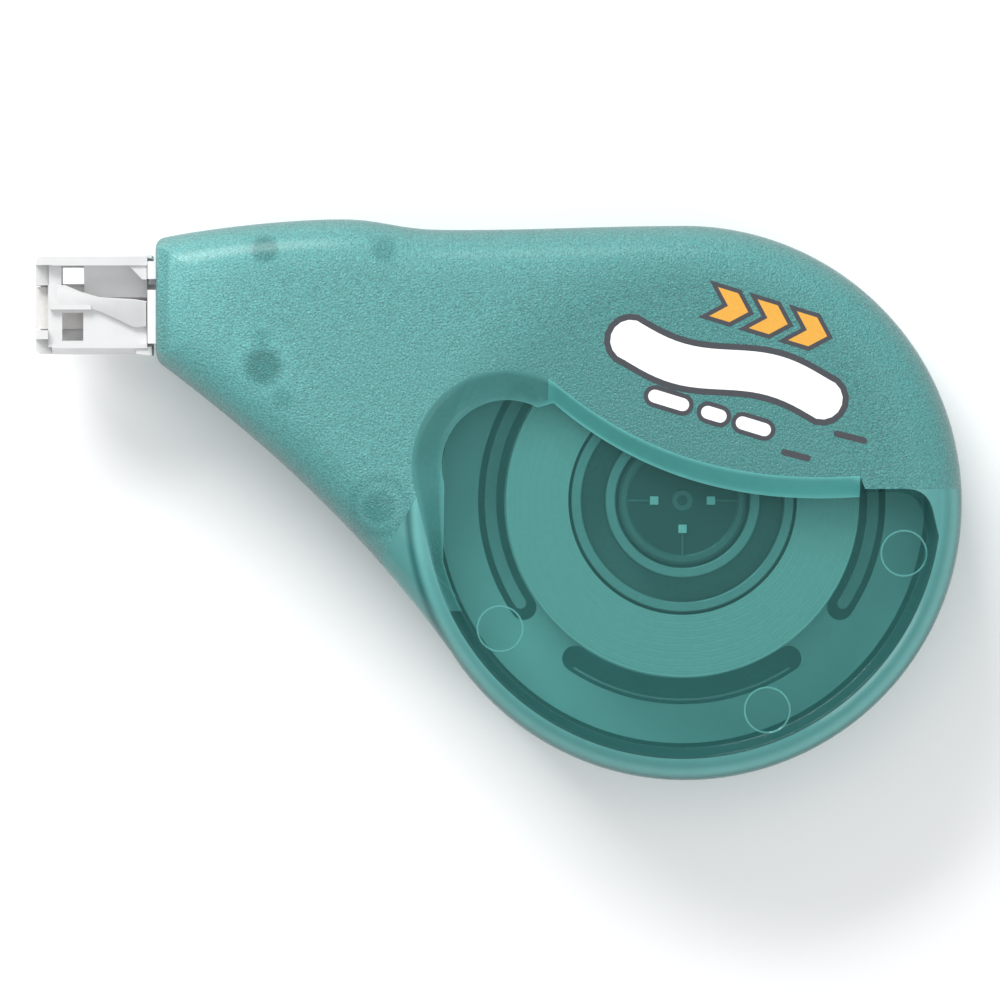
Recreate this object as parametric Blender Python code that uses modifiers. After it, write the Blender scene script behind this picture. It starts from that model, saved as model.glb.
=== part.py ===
"""Correction tape dispenser: a pear-shaped case of two shells, two reels on one axle, and a white head.

The case lies on its back with the window up. The origin is on the reels' axis at the back face, +X points
away from the head, +Y to the long straight side and +Z out through the window. Lengths are in metres.
"""

import math

import bmesh
import bpy

MM = 0.001
GAP = 0.3 * MM

# case
CASE_CENTRE = (0.25 * MM, -0.25 * MM)
CASE_RADIUS = 27.65 * MM
CASE_END_X = -52.5 * MM
CORNER_RADIUS = 1.1 * MM
WALL = 1.4 * MM
SHOULDER_RADIUS = 3.4 * MM
BACK_EDGE_RADIUS = 3.0 * MM
BACK_FLOOR = 1.4 * MM
PARTING = 8.0 * MM
BROW_TOP = 16.8 * MM
BROW_CEILING = 15.4 * MM
WINDOW_TOP = 14.6 * MM
WINDOW_CEILING = 13.4 * MM
TONGUE_WIDTH = 0.6 * MM
TONGUE_TOP = 9.2 * MM
TONGUE_ROOT = 6.0 * MM
OPENING_Z = (4.1 * MM, 12.7 * MM)
OPENING_Y = (15.35 * MM, 24.15 * MM)
ROUNDING_STEPS = 4

# pins of the front shell and the bosses of the back shell that they enter
BOSSES = ((-41.4, 14.0), (-28.6, 1.6), (-42.0, 23.6), (-29.7, 24.2))
BOSS_RADIUS = 1.9 * MM
BOSS_BORE = 1.3 * MM
BOSS_TOP = 7.4 * MM
PIN_RADIUS = 1.0 * MM
PIN_END = 3.0 * MM

# axle, reels and clutch
AXLE_RADIUS = 2.9 * MM
AXLE_BORE = 1.4 * MM
AXLE_BORE_FLOOR = 6.8 * MM
AXLE_TOP = 11.4 * MM
AXLE_FOOT = (4.6 * MM, 1.6 * MM)
TAPE_WIDTH = 4.2 * MM
TAPE_THICKNESS = 0.15 * MM
TWIST_STEPS = 26
TIP_STEPS = 7
ROLL_INNER = 11.4 * MM
ROLL_OUTER = 17.6 * MM
ROLL_FLOOR = 8.5 * MM
USED_INNER = 21.8 * MM
USED_OUTER = 22.6 * MM
USED_FLOOR = 2.3 * MM
FLANGE_RADIUS = 24.3 * MM
FLANGE_Z = (6.8 * MM, 7.4 * MM)
SLOT_RADII = (17.8 * MM, 20.4 * MM)
SLOT_HALF_ANGLE = 34.0
CAP_RADIUS = 6.4 * MM
CAP_TOP = 12.5 * MM
CAP_WALL = 0.8 * MM
CAP_NOTCH_X = (2.4 * MM, 3.3 * MM)
CAP_SLIT_X = (3.0 * MM, 5.4 * MM)
CLUTCH_RING = (8.9 * MM, 0.45 * MM, 8.2 * MM)
REEL_STEPS = 64

# head and neck
HEAD_TIP_X = -64.2 * MM
HEAD_END_X = -53.4 * MM
HEAD_Y = (14.65 * MM, 24.35 * MM)
HEAD_CHANNEL_Y = (15.6 * MM, 23.45 * MM)
HEAD_Z = (5.0 * MM, 11.8 * MM)
BLADE_Z = (7.6 * MM, 8.6 * MM)
GUARD_Z = (10.4 * MM, 11.2 * MM)
HEAD_MIDDLE_Y = 19.25 * MM
NECK_X = (-53.2 * MM, -49.6 * MM)
NECK_Y = (15.65 * MM, 23.85 * MM)
NECK_Z = (4.4 * MM, 12.4 * MM)
NECK_WALL = 0.9 * MM
RIM_X = (-50.7 * MM, -49.6 * MM)
RIM_REACH = 0.55 * MM


def start_empty():
    """Remove what is in the scene."""
    for thing in list(bpy.data.objects):
        bpy.data.objects.remove(thing, do_unlink=True)


def make_collection(name):
    group = bpy.data.collections.new(name)
    bpy.context.scene.collection.children.link(group)
    return group


def make_material(name, colour, roughness, metallic=0.0):
    material = bpy.data.materials.new(name)
    material.use_nodes = True
    shader = material.node_tree.nodes["Principled BSDF"]
    shader.inputs["Base Color"].default_value = (*colour, 1.0)
    shader.inputs["Roughness"].default_value = roughness
    shader.inputs["Metallic"].default_value = metallic
    return material


# outlines ------------------------------------------------------------------------------------------------

def arc(centre, radius, start, end, count):
    """Points on an arc, angles in degrees, both ends included."""
    points = []
    for step in range(count):
        angle = math.radians(start + (end - start) * step / (count - 1))
        points.append((centre[0] + radius * math.cos(angle), centre[1] + radius * math.sin(angle)))
    return points


def bezier(ends, handles, count):
    """Points on a cubic from ends[0] to ends[1], given in millimetres, without its last point."""
    points = []
    for step in range(count):
        t = step / count
        weights = ((1 - t) ** 3, 3 * t * (1 - t) ** 2, 3 * t * t * (1 - t), t ** 3)
        knots = (ends[0], handles[0], handles[1], ends[1])
        x = sum(weight * knot[0] for weight, knot in zip(weights, knots))
        y = sum(weight * knot[1] for weight, knot in zip(weights, knots))
        points.append((x * MM, y * MM))
    return points


def case_path():
    """The case's outline with sharp corners at its narrow end, anticlockwise, and the corners' places."""
    bowl_start = (-22.4, -16.1)
    bowl = arc(CASE_CENTRE, CASE_RADIUS, -145.0, 90.0, 44)
    straight = bezier(((0.25, 27.4), (-24.0, 27.0)), ((-8.0, 27.4), (-16.0, 26.9)), 7)[1:]
    hump_up = bezier(((-24.0, 27.0), (-34.0, 28.05)), ((-28.5, 27.05), (-30.0, 28.05)), 5)
    hump_down = bezier(((-34.0, 28.05), (-51.2, 26.35)), ((-39.0, 28.05), (-46.0, 27.3)), 5)
    corners = [(CASE_END_X, 26.1 * MM), (CASE_END_X, 13.95 * MM)]
    flank = bezier(((-51.0, 12.85), bowl_start), ((-40.06, 4.53), (-30.4, -4.63)), 12)
    before = bowl + straight + hump_up + hump_down
    return before + corners + flank, (len(before), len(before) + 1)


def offset_path(points, distance):
    """A closed anticlockwise path moved inwards by distance, with mitred corners."""
    moved = []
    for index, point in enumerate(points):
        before = points[index - 1]
        after = points[(index + 1) % len(points)]
        back = (point[0] - before[0], point[1] - before[1])
        ahead = (after[0] - point[0], after[1] - point[1])
        back_length = math.hypot(*back)
        ahead_length = math.hypot(*ahead)
        back_normal = (-back[1] / back_length, back[0] / back_length)
        ahead_normal = (-ahead[1] / ahead_length, ahead[0] / ahead_length)
        total = (back_normal[0] + ahead_normal[0], back_normal[1] + ahead_normal[1])
        scale = 2.0 * distance / (total[0] ** 2 + total[1] ** 2)
        moved.append((point[0] + total[0] * scale, point[1] + total[1] * scale))
    return moved


def round_corner(before, corner, after, radius, count):
    """The points that replace a sharp corner by an arc-like curve of about the given radius."""
    def toward(target):
        reach = math.hypot(target[0] - corner[0], target[1] - corner[1])
        share = min(radius / reach, 0.45)
        return (corner[0] + (target[0] - corner[0]) * share, corner[1] + (target[1] - corner[1]) * share)

    start = toward(before)
    end = toward(after)
    points = []
    for step in range(count):
        t = step / (count - 1)
        x = (1 - t) ** 2 * start[0] + 2 * t * (1 - t) * corner[0] + t * t * end[0]
        y = (1 - t) ** 2 * start[1] + 2 * t * (1 - t) * corner[1] + t * t * end[1]
        points.append((x, y))
    return points


def case_outline(inset):
    """The case's outline moved inwards, with its two end corners rounded."""
    path, corners = case_path()
    moved = offset_path(path, inset)
    radius = max(CORNER_RADIUS - inset, 0.3 * MM)
    outline = []
    for index, point in enumerate(moved):
        if index in corners:
            outline += round_corner(moved[index - 1], point, moved[index + 1], radius, 4)
        else:
            outline.append(point)
    return outline


def window_outline(lip_shift, rim_shift, left_shift):
    """The window recess, anticlockwise: the lip, the round left end, the bowl's rim and the right corner."""
    lip = bezier(((17.6, 2.45), (-13.4, 12.25)), ((3.0, 1.4), (-6.5, 6.2)), 12)
    lip = [(x, y - lip_shift) for x, y in lip]
    left = arc((-17.5 * MM, 3.5 * MM), 9.5 * MM - left_shift, 62.0, 196.0, 14)
    rim = arc((0.0, 0.0), 25.7 * MM - rim_shift, 194.0, 352.0, 34)
    corner_x = 22.3 * MM - rim_shift
    corner = [(24.9 * MM - rim_shift, -1.2 * MM), (corner_x + 1.4 * MM, 0.5 * MM - 0.5 * lip_shift)]
    return lip + left + rim + corner + [(corner_x, 1.1 * MM - 0.5 * lip_shift)]


# solids --------------------------------------------------------------------------------------------------

def place(mesh, name, group, material=None):
    thing = bpy.data.objects.new(name, mesh)
    group.objects.link(thing)
    if material:
        thing.data.materials.append(material)
    return thing


def finish_mesh(shape, name, smooth_angle):
    mesh = bpy.data.meshes.new(name)
    bmesh.ops.recalc_face_normals(shape, faces=shape.faces)
    shape.to_mesh(mesh)
    shape.free()
    if smooth_angle:
        mesh.shade_smooth()
        mesh.set_sharp_from_angle(angle=math.radians(smooth_angle))
    return mesh


def loft(name, rings, group, material=None, smooth_angle=35.0):
    """A closed solid through rings, each a list of 3-D points, with a flat cap at both ends."""
    shape = bmesh.new()
    layers = [[shape.verts.new(point) for point in ring] for ring in rings]
    for below, above in zip(layers, layers[1:]):
        for index in range(len(below)):
            after = (index + 1) % len(below)
            shape.faces.new((below[index], below[after], above[after], above[index]))
    shape.faces.new(list(reversed(layers[0])))
    shape.faces.new(layers[-1])
    return place(finish_mesh(shape, name, smooth_angle), name, group, material)


def prism(name, outline, z_range, group, material=None):
    rings = [[(x, y, z) for x, y in outline] for z in z_range]
    return loft(name, rings, group, material)


def turned(name, profile, group, material=None, steps=REEL_STEPS):
    """A ring of revolution about Z: the closed profile starts at its outer top and runs down the outside."""
    mesh = bpy.data.meshes.new(name)
    points = [(radius * MM, 0.0, z * MM) for radius, z in profile]
    edges = [(index, (index + 1) % len(points)) for index in range(len(points))]
    mesh.from_pydata(points, edges, [])
    thing = place(mesh, name, group, material)
    screw = thing.modifiers.new("turn", "SCREW")
    screw.steps = steps
    screw.render_steps = steps
    screw.use_merge_vertices = True
    screw.merge_threshold = 0.01 * MM
    screw.use_smooth_shade = False
    return thing


def box(name, x_range, y_range, z_range, group, material=None):
    shape = bmesh.new()
    bmesh.ops.create_cube(shape, size=1.0)
    for vert in shape.verts:
        vert.co.x = x_range[0] if vert.co.x < 0 else x_range[1]
        vert.co.y = y_range[0] if vert.co.y < 0 else y_range[1]
        vert.co.z = z_range[0] if vert.co.z < 0 else z_range[1]
    return place(finish_mesh(shape, name, None), name, group, material)


def post(name, centre, radius, z_range, group, sides=24):
    shape = bmesh.new()
    height = z_range[1] - z_range[0]
    bmesh.ops.create_cone(shape, cap_ends=True, segments=sides, radius1=radius, radius2=radius, depth=height)
    middle = (centre[0], centre[1], z_range[0] + 0.5 * height)
    bmesh.ops.translate(shape, verts=shape.verts, vec=middle)
    return place(finish_mesh(shape, name, 35.0), name, group)


def combine(thing, tool, operation):
    """Cut the tool out of the thing, or join it on, keeping the tool as a hidden guide."""
    tool.hide_render = True
    tool.display_type = "WIRE"
    modifier = thing.modifiers.new(tool.name, "BOOLEAN")
    modifier.object = tool
    modifier.operation = operation
    modifier.solver = "EXACT"


# case ----------------------------------------------------------------------------------------------------

def rounded_slab(name, inset, flat_z, round_z, radius, group, material=None):
    """A slab of the case's outline, from a square edge at flat_z to a rounded edge at round_z."""
    direction = 1.0 if round_z > flat_z else -1.0
    levels = [(inset, flat_z)]
    for step in range(ROUNDING_STEPS + 1):
        angle = 0.5 * math.pi * step / ROUNDING_STEPS
        side = inset + radius * (1.0 - math.cos(angle))
        levels.append((side, round_z - direction * radius * (1.0 - math.sin(angle))))
    rings = [[(x, y, z) for x, y in case_outline(side)] for side, z in levels]
    return loft(name, rings, group, material)


def cut_neck_opening(shell, name, group):
    """The mouth for the neck sleeve, and behind it a pocket for the sleeve's rim."""
    mouth = box(f"{name}_mouth", (CASE_END_X - WALL, CASE_END_X + 2.0 * WALL), OPENING_Y, OPENING_Z, group)
    pocket_y = (NECK_Y[0] - RIM_REACH - GAP, NECK_Y[1] + RIM_REACH + GAP)
    pocket_z = (NECK_Z[0] - RIM_REACH - GAP, NECK_Z[1] + RIM_REACH + GAP)
    pocket = box(f"{name}_pocket", (RIM_X[0] - GAP, RIM_X[1] + GAP), pocket_y, pocket_z, group)
    combine(shell, mouth, "DIFFERENCE")
    combine(shell, pocket, "DIFFERENCE")


def recess_solid(group):
    """The space above the window: a flat floor with sloped sides that open towards the brow."""
    floor = window_outline(2.1 * MM, 1.1 * MM, 3.0 * MM)
    mouth = window_outline(0.0, 0.0, 0.0)
    above = 1.0 * MM
    share = above / (BROW_TOP - WINDOW_TOP)
    top = [(m[0] + (m[0] - f[0]) * share, m[1] + (m[1] - f[1]) * share) for f, m in zip(floor, mouth)]
    rings = [[(x, y, WINDOW_TOP) for x, y in floor], [(x, y, BROW_TOP + above) for x, y in top]]
    return loft("window_recess", rings, group)


def brow_hollow(group):
    """The hollow under the raised brow, kept a wall's thickness away from the window recess."""
    hollow = rounded_slab("brow_hollow", 1.4 * WALL, WINDOW_CEILING - WALL, BROW_CEILING, 1.2 * MM, group)
    keep = offset_path(window_outline(0.0, 0.0, 0.0), -WALL)
    window_walls = prism("window_walls", keep, (WINDOW_CEILING - 2 * WALL, BROW_TOP), group)
    combine(hollow, window_walls, "DIFFERENCE")
    return hollow


def make_front_shell(group, tools, material):
    bottom = PARTING + GAP
    shell = rounded_slab("front_shell", 0.0, bottom, BROW_TOP, SHOULDER_RADIUS, group, material)
    cavity = prism("front_cavity", case_outline(WALL), (bottom - WALL, WINDOW_CEILING), tools)
    combine(shell, cavity, "DIFFERENCE")
    combine(shell, brow_hollow(tools), "DIFFERENCE")
    combine(shell, recess_solid(tools), "DIFFERENCE")
    cut_neck_opening(shell, "front", tools)
    for index, (x, y) in enumerate(BOSSES):
        top = BROW_CEILING + 0.5 * (BROW_TOP - BROW_CEILING)
        pin = post(f"pin_{index + 1}", (x * MM, y * MM), PIN_RADIUS, (PIN_END, top), tools, 16)
        combine(shell, pin, "UNION")


def make_back_shell(group, tools, material):
    shell = rounded_slab("back_shell", 0.0, PARTING, 0.0, BACK_EDGE_RADIUS, group, material)
    cavity = rounded_slab("back_cavity", WALL, PARTING + WALL, BACK_FLOOR, 2.0 * MM, tools)
    combine(shell, cavity, "DIFFERENCE")
    tongue = prism("tongue", case_outline(WALL + GAP), (TONGUE_ROOT, TONGUE_TOP), tools)
    inside = case_outline(WALL + GAP + TONGUE_WIDTH)
    tongue_hollow = prism("tongue_hollow", inside, (TONGUE_ROOT - WALL, TONGUE_TOP + WALL), tools)
    combine(tongue, tongue_hollow, "DIFFERENCE")
    ledge = prism("tongue_ledge", case_outline(0.5 * WALL), (TONGUE_ROOT, PARTING - 0.5 * MM), tools)
    combine(ledge, tongue_hollow, "DIFFERENCE")
    combine(shell, ledge, "UNION")
    combine(shell, tongue, "UNION")
    root = 0.5 * BACK_FLOOR
    combine(shell, post("axle_foot", (0.0, 0.0), AXLE_FOOT[0], (root, AXLE_FOOT[1]), tools, 32), "UNION")
    combine(shell, post("axle_post", (0.0, 0.0), AXLE_RADIUS, (root, AXLE_TOP), tools, 32), "UNION")
    bore = post("axle_bore", (0.0, 0.0), AXLE_BORE, (AXLE_BORE_FLOOR, AXLE_TOP + WALL), tools)
    combine(shell, bore, "DIFFERENCE")
    for index, (x, y) in enumerate(BOSSES):
        centre = (x * MM, y * MM)
        combine(shell, post(f"boss_{index + 1}", centre, BOSS_RADIUS, (root, BOSS_TOP), tools), "UNION")
        socket = post(f"socket_{index + 1}", centre, BOSS_BORE, (PIN_END - 1.0 * MM, BOSS_TOP + WALL), tools)
        combine(shell, socket, "DIFFERENCE")
    cut_neck_opening(shell, "back", tools)


# reels ---------------------------------------------------------------------------------------------------

def slot_outline(middle_angle):
    """A curved slot with round ends in the take-up flange."""
    inner, outer = SLOT_RADII
    middle = 0.5 * (inner + outer)
    end_radius = 0.5 * (outer - inner)
    start = middle_angle - SLOT_HALF_ANGLE
    end = middle_angle + SLOT_HALF_ANGLE
    outline = arc((0.0, 0.0), outer, start, end, 12)
    for angle, turn in ((end, 0.0), (start, 180.0)):
        radians = math.radians(angle)
        centre = (middle * math.cos(radians), middle * math.sin(radians))
        outline += arc(centre, end_radius, angle + turn, angle + turn + 180.0, 6)[1:-1]
        if turn == 0.0:
            outline += arc((0.0, 0.0), inner, end, start, 12)
    return outline


def make_takeup_reel(group, tools, material):
    flange = FLANGE_RADIUS / MM
    under, over = (FLANGE_Z[0] / MM, FLANGE_Z[1] / MM)
    profile = ((flange, over), (flange, under), (21.5, under), (21.5, 2.0), (23.2, 2.0), (23.2, 1.7),
               (20.8, 1.7), (20.8, under), (4.3, under), (4.3, 1.9), (3.2, 1.9), (3.2, over))
    reel = turned("takeup_reel", profile, group, material)
    for index in range(4):
        outline = slot_outline(90.0 * index)
        slot = prism(f"flange_slot_{index + 1}", outline, (FLANGE_Z[0] - MM, FLANGE_Z[1] + MM), tools)
        combine(reel, slot, "DIFFERENCE")


def ring_profile(inner, outer, floor, height):
    top = (floor + height) / MM
    bottom = floor / MM
    return ((outer / MM, top), (outer / MM, bottom), (inner / MM, bottom), (inner / MM, top))


def make_supply_core(group, material):
    profile = ((11.1, 12.7), (11.1, 8.2), (17.2, 8.2), (17.2, 7.8), (10.1, 7.8), (10.1, 8.9), (7.7, 8.9),
               (7.7, 7.8), (6.7, 7.8), (6.7, 12.9), (7.7, 12.9), (7.7, 9.6), (10.1, 9.6), (10.1, 12.7))
    turned("supply_core", profile, group, material)


def make_bearing_cap(group, tools, material):
    radius = CAP_RADIUS / MM
    top = CAP_TOP / MM
    under = (CAP_TOP - CAP_WALL) / MM
    profile = ((radius, top), (radius, 8.2), (5.7, 8.2), (5.7, under), (1.1, under), (1.1, 7.5), (0.5, 7.5),
               (0.5, top))
    cap = turned("bearing_cap", profile, group, material, 48)
    depth = (CAP_TOP - 1.5 * CAP_WALL, CAP_TOP + 0.5 * CAP_WALL)
    for index in range(4):
        angle = 0.5 * math.pi * index
        notch = box(f"cap_notch_{index + 1}", CAP_NOTCH_X, (-0.4 * MM, 0.4 * MM), depth, tools)
        slit = box(f"cap_slit_{index + 1}", CAP_SLIT_X, (-0.1 * MM, 0.1 * MM), depth, tools)
        for tool in (notch, slit):
            tool.rotation_euler = (0.0, 0.0, angle)
            combine(cap, tool, "DIFFERENCE")


def make_clutch_ring(group, material):
    major, minor, height = CLUTCH_RING
    bpy.ops.mesh.primitive_torus_add(location=(0.0, 0.0, height), major_radius=major, minor_radius=minor,
                                     major_segments=40, minor_segments=8)
    ring = bpy.context.object
    ring.name = "clutch_ring"
    for owner in list(ring.users_collection):
        owner.objects.unlink(ring)
    group.objects.link(ring)
    ring.data.materials.append(material)
    ring.data.shade_smooth()


# tape ----------------------------------------------------------------------------------------------------

def tangent_point(point, radius, side):
    """Where a line from point touches the circle about the axis; side is +1 above and -1 below."""
    distance = math.hypot(*point)
    angle = math.atan2(point[1], point[0]) - side * math.acos(radius / distance)
    return (radius * math.cos(angle), radius * math.sin(angle))


def blend_points(start, end, share):
    return tuple(a + (b - a) * share for a, b in zip(start, end))


def ease(share):
    return share * share * (3.0 - 2.0 * share)


def flat_heading(start, end):
    length = math.hypot(end[0] - start[0], end[1] - start[1])
    return ((end[0] - start[0]) / length, (end[1] - start[1]) / length, 0.0)


def tip_stations(start, end, count):
    """The tape's half turn round the blade's tip, from start to end in degrees, 90 being on top."""
    middle_z = 0.5 * (BLADE_Z[0] + BLADE_Z[1])
    radius = 0.5 * (BLADE_Z[1] - BLADE_Z[0]) + GAP + 0.5 * TAPE_THICKNESS
    centre_x = HEAD_TIP_X + 0.5 * (BLADE_Z[1] - BLADE_Z[0])
    stations = []
    for step in range(count):
        angle = math.radians(start + (end - start) * step / (count - 1))
        stations.append((centre_x + radius * math.cos(angle), middle_z + radius * math.sin(angle), angle))
    return stations


def strip_solid(name, rings, group, material):
    """A thin strip through rings of four corners; both wide faces are split along matching diagonals."""
    shape = bmesh.new()
    layers = [[shape.verts.new(point) for point in ring] for ring in rings]
    for near, far in zip(layers, layers[1:]):
        shape.faces.new((near[0], near[1], far[1]))
        shape.faces.new((near[0], far[1], far[0]))
        shape.faces.new((near[2], near[3], far[2]))
        shape.faces.new((near[3], far[3], far[2]))
        shape.faces.new((near[1], near[2], far[2], far[1]))
        shape.faces.new((near[3], near[0], far[0], far[3]))
    shape.faces.new(list(reversed(layers[0])))
    shape.faces.new(layers[-1])
    return place(finish_mesh(shape, name, 35.0), name, group, material)


def tape_run(name, path, tip, group, material):
    """The strip along path, then round the tip; each is a list of sections of four corners."""
    sections = []
    for index, (centre, lean) in enumerate(path):
        before = path[max(index - 1, 0)][0]
        after = path[min(index + 1, len(path) - 1)][0]
        heading = flat_heading(before, after)
        turn = 0.5 * math.pi * lean
        width = (-heading[1] * math.sin(turn), heading[0] * math.sin(turn), math.cos(turn))
        through = (heading[1] * math.cos(turn), -heading[0] * math.cos(turn), math.sin(turn))
        sections.append((centre, width, through))
    for x, z, angle in tip:
        facing = 1.0 if lean > 0 else -1.0
        through = (math.cos(angle), 0.0, math.sin(angle))
        sections.append(((x, HEAD_MIDDLE_Y, z), (0.0, -facing, 0.0), through))
    rings = []
    for centre, width, through in sections:
        ring = []
        for across, deep in ((-0.5, -0.5), (0.5, -0.5), (0.5, 0.5), (-0.5, 0.5)):
            ring.append(tuple(centre[axis] + width[axis] * across * TAPE_WIDTH
                              + through[axis] * deep * TAPE_THICKNESS for axis in range(3)))
        rings.append(ring)
    return strip_solid(name, rings, group, material)


def make_fresh_tape(group, material):
    """Fresh tape: off the top of the supply roll, a quarter turn in the case, and over the blade to the tip."""
    level = ROLL_FLOOR + 0.5 * TAPE_WIDTH
    blade_level = BLADE_Z[1] + GAP + 0.5 * TAPE_THICKNESS
    twist_start = (-40.0 * MM, 18.9 * MM)
    twist_end = (-52.0 * MM, HEAD_MIDDLE_Y)
    leave = tangent_point(twist_start, ROLL_OUTER + GAP + 0.5 * TAPE_THICKNESS, 1.0)
    path = []
    for step in range(5):
        x, y = blend_points(leave, twist_start, step / 5)
        path.append(((x, y, level), 0.0))
    for step in range(TWIST_STEPS + 1):
        share = step / TWIST_STEPS
        x, y = blend_points(twist_start, twist_end, share)
        path.append(((x, y, level + (blade_level - level) * ease(share)), ease(share)))
    path.append(((HEAD_TIP_X + 3.0 * MM, HEAD_MIDDLE_Y, blade_level), 1.0))
    return tape_run("fresh_tape_run", path, tip_stations(90.0, 172.0, TIP_STEPS), group, material)


def make_used_film(group, material):
    """Used film: back under the blade, a quarter turn, and down the slanted side on to the take-up reel."""
    level = USED_FLOOR + 0.5 * TAPE_WIDTH
    blade_level = BLADE_Z[0] - GAP - 0.5 * TAPE_THICKNESS
    twist_end = (-42.5 * MM, 11.2 * MM)
    arrive = tangent_point(twist_end, USED_OUTER + GAP + 0.5 * TAPE_THICKNESS, -1.0)
    slope = flat_heading(twist_end, arrive)
    path = []
    for step in range(5):
        x, y = blend_points(arrive, twist_end, step / 5)
        path.append(((x, y, level), 0.0))
    ends = ((twist_end[0] / MM, twist_end[1] / MM), (-52.0, HEAD_MIDDLE_Y / MM))
    handles = ((ends[0][0] - 5.0 * slope[0], ends[0][1] - 5.0 * slope[1]), (-48.0, HEAD_MIDDLE_Y / MM))
    curve = bezier(ends, handles, TWIST_STEPS) + [(ends[1][0] * MM, ends[1][1] * MM)]
    for step, (x, y) in enumerate(curve):
        share = ease(step / TWIST_STEPS)
        path.append(((x, y, level + (blade_level - level) * share), -share))
    path.append(((HEAD_TIP_X + 3.0 * MM, HEAD_MIDDLE_Y, blade_level), -1.0))
    return tape_run("used_film_run", path, tip_stations(270.0, 188.0, TIP_STEPS), group, material)


# head ----------------------------------------------------------------------------------------------------

def blade_solid(group, tools, material):
    """The springy blade whose rounded tip presses the tape down."""
    middle_z = 0.5 * (BLADE_Z[0] + BLADE_Z[1])
    radius = 0.5 * (BLADE_Z[1] - BLADE_Z[0])
    side = [(HEAD_END_X, BLADE_Z[1])]
    side += arc((HEAD_TIP_X + radius, middle_z), radius, 90.0, 270.0, 7)
    side += [(HEAD_END_X, BLADE_Z[0])]
    walls = (HEAD_CHANNEL_Y[0] - 0.4 * MM, HEAD_CHANNEL_Y[1] + 0.4 * MM)
    rings = [[(x, y, z) for x, z in side] for y in walls]
    head = loft("applicator_head", rings, group, material)
    root = box("blade_root", (HEAD_END_X - MM, -49.9 * MM), (16.9 * MM, 21.6 * MM), BLADE_Z, tools)
    combine(head, root, "UNION")
    return head


def flange_outline(bottom, top, end_x):
    """A side flange seen from the side, with rounded corners at the tip."""
    reach = 1.6 * MM
    front = HEAD_TIP_X - 0.1 * MM
    outline = [(end_x, bottom), (end_x, top)]
    outline += arc((front + reach, top - reach), reach, 90.0, 180.0, 5)
    outline += arc((front + reach, bottom + reach), reach, 180.0, 270.0, 5)
    return outline


def make_head(group, tools, material):
    head = blade_solid(group, tools, material)
    outline = flange_outline(HEAD_Z[0], HEAD_Z[1], HEAD_END_X)
    for name, y_range in (("lower_flange", (HEAD_Y[0], HEAD_CHANNEL_Y[0])),
                          ("upper_flange", (HEAD_CHANNEL_Y[1], HEAD_Y[1]))):
        rings = [[(x, y, z) for x, z in outline] for y in y_range]
        combine(head, loft(name, rings, tools), "UNION")
    guard_points = ((-63.4, 21.55), (-61.6, 21.55), (-60.2, 20.95), (-58.2, 20.35), (-54.7, 20.15),
                    (-53.4, 19.85), (-53.4, 15.2), (-63.4, 15.2))
    guard = prism("guard_plate", [(x * MM, y * MM) for x, y in guard_points], GUARD_Z, tools)
    combine(head, guard, "UNION")
    combine(head, make_ramp(tools), "UNION")
    rib = box("guard_rib", (-63.2 * MM, -59.0 * MM), (19.05 * MM, 19.55 * MM),
              (GUARD_Z[0] + 0.3 * MM, 11.75 * MM), tools)
    combine(head, rib, "UNION")
    strut = box("guard_strut", (-63.35 * MM, -62.0 * MM), (21.3 * MM, 23.7 * MM),
                (GUARD_Z[0], GUARD_Z[1] - 0.6 * MM), tools)
    combine(head, strut, "UNION")
    gusset_points = ((-55.2, 23.8), (-55.2, 23.45), (-53.9, 22.05), (-53.4, 22.05), (-53.4, 23.8))
    gusset = prism("corner_gusset", [(x * MM, y * MM) for x, y in gusset_points],
                   (BLADE_Z[0], HEAD_Z[1] - 0.2 * MM), tools)
    combine(head, gusset, "UNION")
    combine(head, make_collar(tools), "UNION")
    window = box("lower_window", (-61.9 * MM, -59.8 * MM), (15.95 * MM, 18.75 * MM),
                 (GUARD_Z[0] - MM, HEAD_Z[1] + MM), tools)
    combine(head, window, "DIFFERENCE")
    hole = box("upper_window", (-61.95 * MM, -59.8 * MM), (21.65 * MM, 23.3 * MM),
               (BLADE_Z[0] - MM, HEAD_Z[1] + MM), tools)
    combine(head, hole, "DIFFERENCE")


def make_ramp(group):
    """The raised, turning back of the guard plate that leads into the neck."""
    base = GUARD_Z[0] + 0.2 * MM
    stations = ((-62.4, 19.3, 21.4, 11.3, 11.35), (-60.2, 19.3, 20.85, 11.45, 11.5),
                (-58.2, 18.7, 20.3, 11.5, 11.8), (-56.2, 17.85, 20.15, 11.5, 12.1),
                (-54.7, 17.1, 20.1, 11.55, 12.2), (-53.5, 17.25, 19.85, 11.6, 12.2))
    rings = []
    for x, low_y, high_y, low_z, high_z in stations:
        rings.append([(x * MM, low_y * MM, base), (x * MM, high_y * MM, base),
                      (x * MM, high_y * MM, high_z * MM), (x * MM, low_y * MM, low_z * MM)])
    return loft("guard_ramp", rings, group)


def make_collar(group):
    """The flared frame round the neck."""
    x_range = (HEAD_END_X - 0.25 * MM, HEAD_END_X + 0.5 * MM)
    outer_z = (NECK_Z[0] - 0.8 * MM, NECK_Z[1] + 0.8 * MM)
    collar = box("collar", x_range, (HEAD_Y[0] - 0.1 * MM, HEAD_Y[1] + 0.1 * MM), outer_z, group)
    inner_y = (NECK_Y[0] - GAP, NECK_Y[1] + GAP)
    inner_z = (NECK_Z[0] - GAP, NECK_Z[1] + GAP)
    hollow = box("collar_hollow", (HEAD_END_X - MM, HEAD_END_X + MM), inner_y, inner_z, group)
    combine(collar, hollow, "DIFFERENCE")
    return collar


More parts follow.
